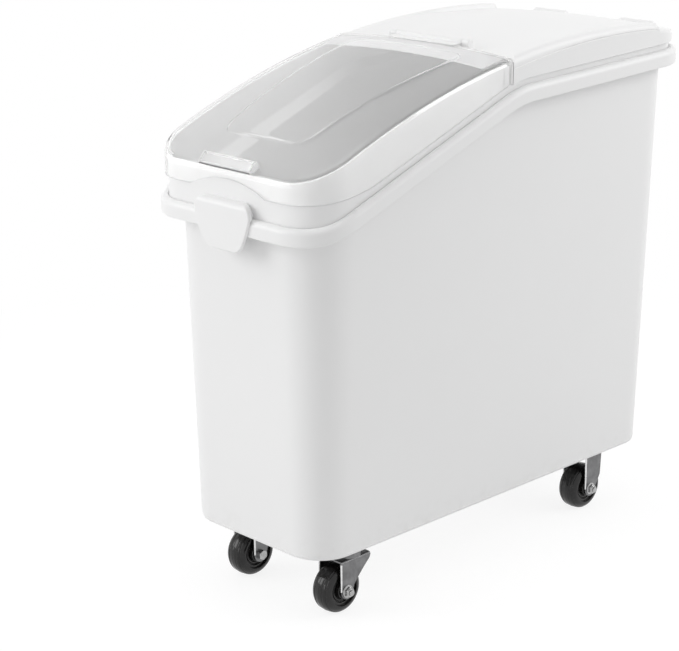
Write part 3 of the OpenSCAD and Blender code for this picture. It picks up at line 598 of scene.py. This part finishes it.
# Lower edge of the front lid's skirt: along the rim, higher at the front, arched over the finger gap
def frontEdge(plan):
    x, y = plan[:, 0], plan[:, 1]
    arch = frontLid["fingerRise"] * np.maximum(0.0, 1.0 - (2.0 * x / frontLid["fingerW"]) ** 2)
    lift = frontLid["frontLift"] * ramp((lidFrontY + frontLid["liftL"] - y) / frontLid["liftL"])
    return rimZ(y) + frontLid["skirtLift"] + lift + np.where(plan[:, 3] < -0.99, arch, 0.0)


def rearEdge(plan):
    return rimZ(plan[:, 1]) + rearLid["skirtLift"]


# Section of a lid from its underside round rib, skirt and shoulder to its top, each row the outline drawn in by d.
# Where direction times the normal points at the other lid, the shoulder tightens and the skirt is short.
def lidSection(size, shoulderAt, ledge, top, edge, direction):
    halfX, yFront, yRear, rFront, rRear, steps = size
    plan = planOutline(*size)
    joint = ramp(direction * plan[:, 3] / lids["jointBlend"])
    shoulder = shoulderAt(plan[:, 1])
    shoulder = shoulder + (lids["jointR"] - shoulder) * joint
    thick, rib, ribT, deep = lids["thick"], lids["ribIn"], lids["ribT"], lids["topIn"]
    seat = lids["seat"] - (lids["curbDrop"] if direction > 0 else lids["rearCurbDrop"])

    def inset(d):
        least = 0.3
        return planOutline(halfX - d, yFront + d, yRear - d, max(rFront - d, least), max(rRear - d, least), steps)

    def onTop(d, lower):
        ring = inset(d)
        return corner(ring, 0.0, top(ring[:, 0], ring[:, 1]) - lower)

    def onSeat(d):
        ring = inset(d)
        return corner(ring, 0.0, arcZ(ring[:, 1]) + seat)

    topZ = top(plan[:, 0], plan[:, 1])
    low = edge(plan)
    bottom = low + (topZ - shoulder - lids["lipRoom"] - low) * joint
    inner, back = inset(thick), inset(ledge)
    corners = [onTop(deep, thick), onTop(rib + ribT, thick + 1.0), onSeat(rib + ribT), onSeat(rib),
               onTop(rib, thick + 2.0), corner(inner, 0.0, topZ - shoulder), corner(inner, 0.0, bottom),
               corner(plan, 0.0, bottom)]
    radii = [0, 0.8, 0.6, 0.6, 1.0, 1.2, 0.8, 0.8]
    if ledge > 0:
        corners += [corner(plan, 0.0, topZ - shoulder - ledge), corner(back, 0.0, topZ - shoulder - 0.2)]
        radii += [0.3, 0.2]
    corners += [corner(back, 0.0, topZ), onTop(deep, 0.0)]
    return roundSection(np.stack(corners), radii + [shoulder, 0], 8, most=0.95)


# Rows of a lid's top between a ring and a smaller one, set at the top's height plus a rise
def topRows(ringA, ringB, shares, top, rise):
    plan = ringA[None, :, :2] + (ringB - ringA)[None, :, :2] * np.asarray(shares)[:, None, None]
    x, y = plan[..., 0], plan[..., 1]
    return xyz(x, y, top(x, y) + np.broadcast_to(np.asarray(rise, float), (len(shares),))[:, None])


# Panel outline: a rounded rectangle drawn in, narrowed towards the front by a linear taper
def panelRing(inset):
    y0 = lidFrontY + frontLid["panelFront"] + inset
    y1 = jointY - frontLid["panelRear"] - inset
    r, taper = frontLid["panelR"], frontLid["panelTaper"]
    plan = planOutline(frontLid["panelW"] / 2 - inset, y0, y1, r, r, frontLid["steps"])
    narrow = taper + (1.0 - taper) * (plan[:, 1] - y0) / (y1 - y0)
    return xyz(plan[:, 0] * narrow, plan[:, 1], 0.0)


# The two sides of a lid's middle: rows from the shoulder to the middle, above and a wall's thickness below
def closeLid(section, rows):
    below = rows[::-1] - np.array([0.0, 0.0, lids["thick"]])
    return skin(joined(below, section, rows))


frontSize = (lidX, lidFrontY, jointY, lidCornerR, lids["jointCorner"], frontLid["steps"])
rearSize = (lidX, jointY + lids["gap"], lidRearY, lids["jointCorner"], lidCornerR, rearLid["steps"])


def frontLidSkin():
    section = lidSection(frontSize, frontShoulder, 0.0, frontTop, frontEdge, 1.0)
    edge, step = panelRing(0.0), panelRing(frontLid["panelStep"])
    middle = np.array([0.0, (edge[:, 1].min() + edge[:, 1].max()) / 2, 0.0])
    stepShares = np.linspace(0.0, 1.0, 9)
    rise = frontLid["panelRise"]
    return closeLid(section, joined(
        topRows(section[-1], edge, np.linspace(0.1, 0.96, 12), frontTop, 0.0),
        topRows(edge, step, stepShares, frontTop, rise * ramp(stepShares)),
        topRows(step, np.broadcast_to(middle, step.shape), np.linspace(0.04, 0.985, 22), frontTop, rise)))


def rearLidSkin():
    section = lidSection(rearSize, rearShoulder, rearLid["ledge"], rearTop, rearEdge, -1.0)
    middle = np.array([0.0, (jointY + lidRearY) / 2, 0.0])
    shares = joined(np.linspace(0.004, 0.04, 9), np.linspace(0.06, 0.985, 40))
    rows = topRows(section[-1], np.broadcast_to(middle, section[-1].shape), shares, rearTop, 0.0)
    return closeLid(section, rows)


# Lug: a bar with rounded ends, turned about its own length
def lugSkin(side):
    y = lidRearY - rearLid["lugBack"]
    axle = np.array([side * rearLid["lugX"], y, rearTop(rearLid["lugX"], y) - rearLid["lugSink"]])
    half, r = rearLid["lugW"] / 2, rearLid["lugR"]
    return turned([[0.2, -half], [r, -half], [r, half], [0.2, half]], [0, 2.2, 2.2, 0], axle, 48)


tongue = dict(ahead=14.0, behind=9.0, tip=0.3, taperL=7.0, deep=1.3, room=0.5, into=0.3, step=(2.0, 3.2),
    edge=0.1, lift=0.5, top=9.0)


# Tongue of the rear lid: a flat tapered bar carried up behind the clear skirt, rooted in the rear one
def tongueSkin(side):
    inside = lidX - lids["thick"]
    x0, x1, root = inside - tongue["deep"], inside - tongue["room"], inside + tongue["into"]
    front, back = jointY - tongue["ahead"], jointY + tongue["behind"]
    step0, step1 = (jointY + y for y in tongue["step"])
    plan = [[x0, front], [x0 + tongue["tip"], front], [x1, front + tongue["taperL"]], [x1, step0], [root, step1],
            [root, back], [x0, back]]
    x, y = roundLoop(plan, [tongue["edge"]] * 7, 3).T
    low, high = rimZ(y) + rearLid["skirtLift"] + tongue["lift"], arcZ(y) - tongue["top"]
    return skin(xyz(side * x, y, low + (high - low) * np.linspace(0.0, 1.0, 5)[:, None]))


knuckle = dict(pin=5.0, play=0.08, wall=2.6, wide=12.0, barrel=120.0, gap=0.3, sink=1.5, webT=3.5, webBack=6.0,
    edge=0.7)
knuckleR = knuckle["pin"] / 2 + knuckle["wall"]
barrelHalf = knuckle["barrel"] / 2


# Ring-shaped extrusion along X: an outer loop and the round bore, joined at both ends by rounded edges
def boredBar(loop, xLow, xHigh):
    bore = (knuckle["pin"] / 2 + knuckle["play"]) * np.stack(circle(len(loop)), 1)
    e = knuckle["edge"]
    small, mid = (loop * (1.0 - k * e / np.linalg.norm(loop, axis=1, keepdims=True)) for k in (1.0, 0.3))
    order = [(small, xLow), (mid, xLow + 0.3 * e), (loop, xLow + e), (loop, xHigh - e), (mid, xHigh - 0.3 * e),
             (small, xHigh), (bore, xHigh), (bore, xLow)]
    return skin(np.stack([xyz(x, *(p + hinge[1:]).T) for p, x in order]), True)


# Knuckle of the rear lid: a circle whose lower half runs straight down into the lid
def knuckleSkin(side):
    c, s = circle(64)
    down = rearTop(barrelHalf, bendY) - knuckle["sink"] - hinge[2]
    reach = np.minimum(knuckleR / np.maximum(np.abs(c), 1e-6), down / np.minimum(s, -1e-6))
    r = np.where(s < 0, reach, knuckleR)
    x0 = barrelHalf + knuckle["gap"]
    low, high = sorted((side * x0, side * (x0 + knuckle["wide"])))
    return boredBar(np.stack([r * c, r * s], 1), low, high)


# Barrel of the front lid: a circle with a flat web that runs forward onto the lid
def barrelSkin():
    c, s = circle(96)
    forward = -(bendY - jointY + knuckle["webBack"])
    reach = np.minimum(np.where(c < 0, forward / np.minimum(c, -1e-6), 1e3),
                       np.where(s < 0, -knuckle["webT"] / np.minimum(s, -1e-6), 1e3))
    web = (c < 0) & (s <= 0) & (s > -0.75)
    r = np.where(web, np.maximum(reach, knuckleR), knuckleR)
    return boredBar(np.stack([r * c, r * s], 1), -barrelHalf, barrelHalf)


leaf = dict(wide=296.0, back=8.0, deep=48.0, thick=1.3, into=0.2, edge=0.5, steps=61)


# Hinge leaf: a flat rounded strip carried along X, against the underside of the front lid ahead of the joint; its pale
# grey finish is painted shade
def leafSkin():
    y0, y1, t = jointY - leaf["deep"], jointY - leaf["back"], leaf["thick"]
    y, lower = roundLoop([[y0, 0.0], [y1, 0.0], [y1, -t], [y0, -t]], [leaf["edge"]] * 4, 4).T
    x = np.linspace(-leaf["wide"] / 2, leaf["wide"] / 2, leaf["steps"])[:, None]
    return skin(xyz(x, y, frontTop(x, y) - lids["thick"] + leaf["into"] + lower))


grip = dict(wide=94.8, high=9.0, out=3.5, back=13.0, sink=5.0, edge=0.7, crestR=2.2, endEase=1.0, bead=0.5,
    footBead=0.8)
gripHalf = grip["wide"] / 2


# Section of the grip's ridge as y and z
def gripSection():
    base = frontTop(0.0, lidFrontY + frontLid["shoulderR"])
    high, out, back, sink, e = (grip[k] for k in ("high", "out", "back", "sink", "edge"))
    loop = [[-out, -sink], [-out, -1.5], [3.0, high - 2.0], [6.5, high], [9.0, high - 0.4], [back, 1.5],
            [back, -1.0], [3.0, -sink - 1.0]]
    return roundLoop(loop, [e] * 3 + [grip["crestR"]] * 2 + [e] * 3, 6) + np.array([lidFrontY, base])


# Grip: the ridge's section carried along X over the front shoulder, drawn in a little at both ends
def gripSkin():
    section = gripSection()
    a = quarter(9)
    x = gripHalf - grip["endEase"] * (1 - np.cos(a))
    size = 0.9 + 0.1 * np.sin(joined(a, a[::-1]))
    root = section.mean(0)
    yz = root + (section - root)[None] * size[:, None, None]
    return skin(xyz(joined(-x, x[::-1])[:, None], yz[..., 0], yz[..., 1]))


# Round bead along X at a point of the section, from end to end of the grip
def gripBead(y, z, r):
    profile = [[0.1, -gripHalf], [r, -gripHalf], [r, gripHalf], [0.1, gripHalf]]
    return turned(profile, [0, 0.2, 0.2, 0], np.array([0.0, y, z]), 14, 3)


# Round bead along the section's outline at one end of the grip: a circle carried round the closed loop
def gripEnd(x, r):
    loop = gripSection()
    tangent = np.roll(loop, -1, 0) - np.roll(loop, 1, 0)
    ny, nz = np.stack([tangent[:, 1], -tangent[:, 0]]) / np.linalg.norm(tangent, axis=1)
    c, s = (r * part[:, None] for part in circle(10))
    return skin(xyz(x + c, loop[:, 0] + s * ny, loop[:, 1] + s * nz), True)


# Painted shade line along the front lid's skirt: a fine grey bead carried round its lower outline
def edgeSkin():
    plan = planOutline(*frontSize)
    low = frontEdge(plan)
    lip = frontTop(plan[:, 0], plan[:, 1]) - frontLid["shoulderR"] - lids["lipRoom"]
    bottom = low + (lip - low) * ramp(plan[:, 3] / lids["jointBlend"])
    r = frontLid["bead"]
    return skin(np.stack([corner(plan, r * (c - 0.4), bottom + r * (s + 0.2)) for c, s in zip(*circle(10))]), True)


rearParts = [rearLidSkin()] + [make(s) for make in (lugSkin, knuckleSkin, tongueSkin) for s in (-1, 1)]
gripY, gripZ = gripSection().T
# white beads along the clear grip's crest and ends: a painted highlight of its bright outline
crest = [gripBead(gripY[gripZ.argmax()], gripZ.max() - 0.3, grip["bead"])]
crest += [gripEnd(s * (gripHalf - 0.4), grip["bead"]) for s in (-1, 1)]
# dark bead at the grip's foot: a painted shadow of the undercut under its lip
gripFoot = gripBead(gripY.min(), gripZ.min() + 1.2, grip["footBead"])
makePiece("rearLid", rearParts, lidWhite, "rear_lid", ["rear_lid"])
makePiece("frontLid", [frontLidSkin()], lidClear, "front_lid", ["front_lid"])
for name, skins, finish, slotName in (
        ("hingeBarrel", [barrelSkin()], lidWhite, "lid_plastic"), ("hingeLeaf", [leafSkin()], leafShadeGrey, "lid_plastic"),
        ("lidGrip", [gripSkin()], gripClear, "clear_plastic"), ("gripEdge", crest, lidWhite, "clear_plastic"),
        ("gripFoot", [gripFoot], paintedFootShadow, "clear_plastic"), ("skirtEdge", [edgeSkin()], paintedEdgeShade, "clear_plastic")):
    makePiece(name, skins, finish, "front_lid")
print("lids ready")


# Wheels: a tyre on a grooved core, both turned about the axle

wheel = dict(half=16.0, coreR=22.0, tyreR=11.0, bead=0.35, beadHalf=0.9, beadIn=1.4, bore=6.56, hubHalf=17.3,
    hubR=12.0, webHalf=10.0, coreHalf=13.0, stepIn=3.4, ring=(14.3, 16.3), ringHalf=11.6, grooves=(0.1, 0.62),
    grooveH=0.7, grooveW=0.06)


# A wheel's profile, given for one side and mirrored, turned about the axle
def wheelTurned(side, radii, axle, columns):
    return turned([[r, -x] for r, x in side[::-1]] + side, radii[::-1] + radii, axle, columns, 4)


# Tyre profile: a quarter circle with two fine grooves on each side of a parting bead
def tyreSkin(axle):
    half, bead, tyreR = wheel["half"], wheel["bead"], wheel["tyreR"]
    r = axle[2] - bead
    a = quarter(61)
    deep = tyreR - sum(wheel["grooveH"] * np.exp(-((a - at) / wheel["grooveW"]) ** 2) for at in wheel["grooves"])
    arc = np.stack([r - tyreR + deep * np.cos(a), half - tyreR + deep * np.sin(a)], 1).tolist()
    side = [[r + bead, 0.25], [r, wheel["beadHalf"]]] + arc + [[wheel["coreR"], half - wheel["beadIn"]]]
    return wheelTurned(side, [0.2, 0.4] + [0] * len(arc) + [0.4], axle, 128)


# Core profile: hub, web with a raised ring, and a step up to the tyre's seat
def coreSkin(axle):
    inner, outer = wheel["ring"]
    coreR, web, ringHalf, hubR, hubHalf = (wheel[k] for k in ("coreR", "webHalf", "ringHalf", "hubR", "hubHalf"))
    step = coreR - wheel["stepIn"]
    side = [[wheel["bore"], hubHalf], [hubR, hubHalf], [hubR + 0.8, web], [inner - 0.6, web], [inner, ringHalf],
            [outer, ringHalf], [outer + 0.6, web], [step - 0.6, web], [step, wheel["coreHalf"]],
            [coreR, wheel["coreHalf"]]]
    return wheelTurned(side, [0.5, 1.2, 1.0, 0.5, 0.7, 0.7, 0.5, 0.5, 0.8, 0.2], axle, 112)


# Caster hardware: bent sheet carried along an upside-down U, hexagon nuts and bolt heads

steel = dict(thick=2.8, legIn=19.2, bendR=3.4, edge=0.5, legR=11.0, eyeIn=2.0, hollow=1.5, forkTop=78.2,
    crownEdge=8.0, ribH=1.0, ribW=1.1, sink=1.0, raceR=23.0, raceTop=85.6, kingpinR=5.06, plateZ=95.2,
    rearLegR=11.5, rearBack=25.0, kneeH=18.0, kneeIn=3.0, axleD=8.0, noRib=200.0, faceSteps=56)
legFace = steel["legIn"] + steel["thick"]


# Closed section carried along an upside-down U with a circular bend at each top corner. Its front and rear edges
# are functions of height; a fine rib runs up the legs at ribY, and behind it the outer face lies deeper.
def bentSheet(topZ, footZ, frontEdgeAt, rearEdgeAt, ribY, centre):
    half, e, n = steel["thick"] / 2, steel["edge"], steel["faceSteps"]
    bend, x, top = steel["bendR"] - half, steel["legIn"] + half, topZ - half
    legZ = footZ + (top - bend - footZ) * (1 - np.cos(quarter(46)))[1:]
    a = quarter(9)[1:]
    pathX = joined(np.full(len(legZ), x), x - bend + bend * np.cos(a), [0.3 * x, 0.0])
    pathZ = joined(legZ, top - bend + bend * np.sin(a), [top, top])
    turn = joined(np.zeros(len(legZ)), a, [math.pi / 2] * 2)
    pathX, pathZ = joined(pathX, -pathX[-2::-1])[:, None], joined(pathZ, pathZ[-2::-1])[:, None]
    turn = joined(turn, math.pi - turn[-2::-1])[:, None]
    y0, y1 = frontEdgeAt(pathZ), rearEdgeAt(pathZ)
    v = np.linspace(0.0, 1.0, n)
    y = joined(y0 + e + (y1 - y0 - 2 * e) * v, y1, y1, y1 - e + (y0 - y1 + 2 * e) * v, y0, y0, axis=1)
    out = joined(np.full(n, half), [half - e, e - half], np.full(n, -half), [e - half, half - e])
    rib = steel["ribH"] * np.exp(-((y - ribY) / steel["ribW"]) ** 2) - steel["sink"] * ramp((y - ribY) / 1.5)
    rib = rib * ramp((top - bend - pathZ) / 4) * ramp((pathZ - footZ - 12) / 5)
    lift = out + rib * (out > 0)
    points = xyz(pathX + np.cos(turn) * lift, y, pathZ + np.sin(turn) * lift)
    return skin(points + np.array([centre[0], centre[1], 0.0]))


# Half width of the round eye of radius r at height z
def eyeHalf(z, axleZ, r):
    return np.sqrt(np.maximum(r ** 2 - (z - axleZ) ** 2, 0.6))


# Front fork: upright front edge, rear edge slanted down to the round eye at the axle, a race on its crown
def forkSkins(centre):
    r, axleZ = steel["legR"], frontAxle[2]
    eyeY = frontAxle[1] - swivelY
    halfY = r - eyeY
    slantFoot, slantTop = eyeY + r - steel["eyeIn"], steel["forkTop"] - steel["crownEdge"]

    def front(z):
        return np.where(z > axleZ, -halfY, eyeY - eyeHalf(z, axleZ, r))

    def rear(z):
        share = np.clip((z - axleZ) / (slantTop - axleZ), 0.0, 1.0)
        slant = slantFoot + (halfY - slantFoot) * share - steel["hollow"] * np.sin(math.pi * share)
        eye = eyeY + eyeHalf(z, axleZ, r)
        return np.where(z < axleZ, eye, np.where(z < axleZ + r, np.maximum(slant, eye), slant))

    sheet = bentSheet(steel["forkTop"], axleZ - r, front, rear, eyeY + r, centre)
    low, high, bore, raceR = steel["forkTop"] - 0.4, steel["raceTop"], steel["kingpinR"], steel["raceR"]
    loop = roundLoop([[bore, low], [raceR, low], [raceR, high], [bore, high]], [0.2, 0.2, 2.4, 0.4], 6)
    c, s = circle(72)
    race = xyz(centre[0] + loop[:, :1] * c, centre[1] + loop[:, :1] * s, loop[:, 1:])
    return [sheet, skin(race, True)]


# Rear bracket: straight legs with a round foot under a flat screwed plate
def bracketSkins(centre):
    r, plateZ, back, kneeIn = (steel[k] for k in ("rearLegR", "plateZ", "rearBack", "kneeIn"))
    axleZ = rearAxle[2]
    kneeZ = axleZ + steel["kneeH"]

    def front(z):
        return np.where(z > axleZ, -r, -eyeHalf(z, axleZ, r))

    def rear(z):
        knee = r + (back - kneeIn - r) * (z - axleZ) / (kneeZ - axleZ)
        upper = back - kneeIn + kneeIn * (z - kneeZ) / (plateZ - kneeZ)
        return np.where(z < axleZ, eyeHalf(z, axleZ, r), np.where(z < kneeZ, knee, upper))

    sheet = bentSheet(plateZ + 0.4, axleZ - r, front, rear, steel["noRib"], centre)
    return [sheet, slabSkin(platePlan(centre[0], centre[1], 0.0), plateZ, plateZ + steel["thick"], 0.6)]


# Sheared front edge of both legs: a circle carried up the leg, its ends drawn in, in brighter zinc that is a painted
# highlight
def legEdgeSkins(centre, y, lowZ, highZ):
    r, drawn = steel["thick"] / 2, 0.6
    c, s = (r * np.array([0.5, 1.0, 1.0, 0.5])[:, None] * part for part in circle(12))
    z = np.array([lowZ, lowZ + drawn, highZ - drawn, highZ])[:, None]
    leg = steel["legIn"] + r + 0.2
    return [skin(xyz(centre[0] + side * leg + c, centre[1] + y + 0.5 * r + s, z)) for side in (-1, 1)]


# Hexagon from x0 to x1: the flat's distance over the cosine of the angle from its middle, cut by a cone at x1
def hexSkin(axle, acrossCorners, x0, x1, bore):
    c, s = circle(96)
    sixth = math.pi / 3
    flat = acrossCorners / 2 * math.cos(sixth / 2)
    hexR = flat / np.cos((np.linspace(0.0, 2 * math.pi, 96, endpoint=False) + sixth / 2) % sixth - sixth / 2)
    x = joined([x0, x0], x0 + (x1 - x0) * np.linspace(0.02, 0.98, 13), [x1, x1])[:, None]
    r = np.minimum(hexR, flat * 0.94 + np.abs(x - x1) * 1.8)
    r[0] = r[-1] = bore
    return skin(xyz(axle[0] + x, axle[1] + r * c, axle[2] + r * s), bore > 0.3)


fastener = dict(cornersOver=1.85, nutH=6.8, headH=5.2, flange=1.2, flangeT=1.6, flangeIn=0.86, domeStart=2.0,
    domeShare=0.82, boltEnd=2.4)
acrossCorners = steel["axleD"] * fastener["cornersOver"]


# Flanged lock nut with a domed collar on the leg's outer face
def nutSkins(axle, side):
    half, high, bore = acrossCorners / 2, fastener["nutH"], steel["axleD"] / 2 + 0.02
    flangeR, domeR = half * fastener["flange"], half * fastener["domeShare"]

    # profile points are radius and height above the leg's face
    def onLeg(profile, radii):
        return turned([[r, side * (legFace + h)] for r, h in profile], radii, axle, 64)

    t, start = fastener["flangeT"], fastener["domeStart"]
    flange = onLeg([[bore, 0.0], [flangeR, 0.0], [flangeR, 0.7], [half * fastener["flangeIn"], t], [bore, t]],
                   [0.1, 0.2, 0.4, 0.2, 0.1])
    body = hexSkin(axle, acrossCorners, side * (legFace + 0.5), side * (legFace + 0.75 * high), bore)
    dome = onLeg([[bore, start], [domeR, start], [domeR, high], [bore, high]], [0.1, 0.1, 1.3, 0.3])
    return [flange, body, dome]


# Bolt: its head on the leg away from the nut, its shank through both legs and the nut
def boltSkins(axle, side):
    s, r = -side, steel["axleD"] / 2
    head = hexSkin(axle, acrossCorners, s * legFace, s * (legFace + fastener["headH"]), 0.2)
    start, end = s * (legFace - 0.4), -s * (legFace + fastener["nutH"] + fastener["boltEnd"])
    shank = turned([[0.2, start], [r, start], [r, end], [0.2, end]], [0, 0.1, 1.0, 0], axle, 48)
    return [head, shank]


def makeCaster(end, sideName, side):
    tag, label = f"{end}_{sideName}", end + sideName.capitalize()
    axle = anchorOf(f"{tag}_wheel_spin")
    isFront = end == "front"
    holder = f"{tag}_swivel" if isFront else "bin"
    centre = np.array([axle[0], swivelY if isFront else axle[1]])
    if isFront:
        hold, holdSkins = "Fork", forkSkins(centre)
        edgeY, edgeTop = axle[1] - swivelY - steel["legR"], steel["forkTop"] - steel["bendR"]
    else:
        hold, holdSkins = "Bracket", bracketSkins(centre)
        edgeY, edgeTop = -steel["rearLegR"], steel["plateZ"] - steel["bendR"]
    legEdges = legEdgeSkins(centre, edgeY, axle[2] + 1.0, edgeTop)
    tyreBlack, coreBlack = (blackWheel(f"{name}Black{label.capitalize()}", look, axle)
                            for name, look in (("tyre", tyreLook), ("core", coreLook)))
    for part, skins, finish, body, slotName, node in (
            ("Tyre", [tyreSkin(axle)], tyreBlack, f"{tag}_wheel", "tyre_rubber", "tyre"),
            ("Core", [coreSkin(axle)], coreBlack, f"{tag}_wheel", "wheel_plastic", "wheel_core"),
            (hold, holdSkins, zincSheet, holder, "zinc_sheet", hold.lower()),
            ("LegEdge", legEdges, zincEdgeHighlight, holder, "zinc_sheet", None),
            ("Nut", nutSkins(axle, side), zincFastener, holder, "zinc_fastener", "axle_nut"),
            ("Bolt", boltSkins(axle, side), zincFastener, holder, "zinc_fastener", "axle_bolt")):
        makePiece(label + part, skins, finish, body, [f"{tag}_{node}"] if node else ())


for end in ("front", "rear"):
    for sideName, side in (("right", 1), ("left", -1)):
        makeCaster(end, sideName, side)
print("casters ready")


# Solids that stay as they are get their finish
solidFinish = {"top_plate": zincSheet, "screw_inserts": insertBrass, "hinge_pin": lidWhite}
for name, solid in frame["nodes"].items():
    finish = next((f for key, f in solidFinish.items() if key in name), zincFastener)
    solid.data.materials.clear()
    solid.data.materials.append(finish)
print("solids finished")


# Stage: floor, lamps, world and camera

stage = dict(floorHalf=14.0, floorTone=0.8, shadowTone=0.2, lift=0.85, fadeStart=0.5, fadeEnd=1.4, ambient=0.515)
white = (1.0, 1.0, 1.0, 1.0)


# Rays that show the white surroundings: straight from the camera, reflected or through clear plastic
def seenRays(kit):
    path = ("Is Camera Ray", "Is Glossy Ray", "Is Transmission Ray")
    camera, glossy, through = (kit.node("LightPath", None, name) for name in path)
    return (camera + glossy + through).clamped()


# Pale floor that keeps the shadow near the bin and fades to white away from it
def floorFinish():
    finish, kit = newFinish("paleFloor")
    away = kit.node("VectorMath", {0: objectPlace(kit)}, "Value", operation="LENGTH")
    far = ((away - stage["fadeStart"]) / (stage["fadeEnd"] - stage["fadeStart"])).clamped()
    pale, shadow = (kit.node("BsdfDiffuse", {"Color": (*grey(stage[k]), 1.0)})
                    for k in ("floorTone", "shadowTone"))
    lift, glow = (kit.node("Emission", {"Color": white, "Strength": s}) for s in (stage["lift"], 1.0))
    near = kit.node("AddShader", {0: shadow, 1: lift})
    seen = kit.node("MixShader", {0: far, 1: near, 2: glow})
    floor = kit.node("MixShader", {0: seenRays(kit), 1: pale, 2: seen})
    kit.node("OutputMaterial", {"Surface": floor})
    return finish


h = stage["floorHalf"]
floorMesh = bpy.data.meshes.new("floor")
floorMesh.from_pydata([(-h, -h, 0.0), (h, -h, 0.0), (h, h, 0.0), (-h, h, 0.0)], [], [(0, 1, 2, 3)])
floorMesh.materials.append(floorFinish())
floor = addObject("floor", floorMesh)

world = bpy.data.worlds.new("studio")
world.use_nodes = True
world.node_tree.nodes.clear()
kit = Link(world.node_tree)
strength = stage["ambient"] + (1.0 - stage["ambient"]) * seenRays(kit)
sky = kit.node("Background", {"Color": white, "Strength": strength})
kit.node("OutputWorld", {"Surface": sky})
scene.world = world

# Lamps: place and aim in metres, size of the soft panel, power in watts
lamps = dict(
    frontPanel=dict(place=(-1.9, -2.6, 1.7), aim=(0.0, -0.3, 0.45), size=(1.8, 2.0), power=35.5),
    lowStrip=dict(place=(0.25, -2.3, 0.5), aim=(0.1, -0.3, 0.1), size=(0.14, 0.7), power=2.2),
    overhead=dict(place=(-0.3, -0.2, 3.4), aim=(0.0, 0.0, 0.6), size=(3.0, 3.0), power=20.0),
    rearSide=dict(place=(1.5, 1.5, 1.6), aim=(0.15, 0.25, 0.7), size=(1.2, 1.4), power=17.5))
for name, lamp in lamps.items():
    light = bpy.data.lights.new(name, "AREA")
    light.shape = "RECTANGLE"
    light.size, light.size_y = lamp["size"]
    light.energy = lamp["power"]
    holder = addObject(name, light)
    holder.location = lamp["place"]
    sight = Vector(lamp["aim"]) - Vector(lamp["place"])
    holder.rotation_euler = sight.to_track_quat("-Z", "Y").to_euler()

# Camera: degrees round the bin and above the horizon, place in metres, focal length in pixels of a
# picture that is pictureW wide
camera = dict(azimuth=45.75, elevation=17.09, roll=-0.34, place=(1.74424, -1.87069, 1.10579), focal=1903.94,
    pictureW=679, sensor=36.0)
a, e, roll = (math.radians(camera[k]) for k in ("azimuth", "elevation", "roll"))
back = Vector((math.sin(a) * math.cos(e), -math.cos(a) * math.cos(e), math.sin(e)))
right = (-back).cross(Vector((0, 0, 1))).normalized()
up = right.cross(-back)
rightRolled = math.cos(roll) * right + math.sin(roll) * up
upRolled = math.cos(roll) * up - math.sin(roll) * right
data = bpy.data.cameras.new("photoCamera")
data.sensor_width = camera["sensor"]
data.lens = camera["focal"] / camera["pictureW"] * camera["sensor"]
viewer = addObject("photoCamera", data)
turn = Matrix((rightRolled, upRolled, back)).transposed().to_4x4()
viewer.matrix_world = Matrix.Translation(Vector(camera["place"])) @ turn
scene.camera = viewer
print("stage ready")
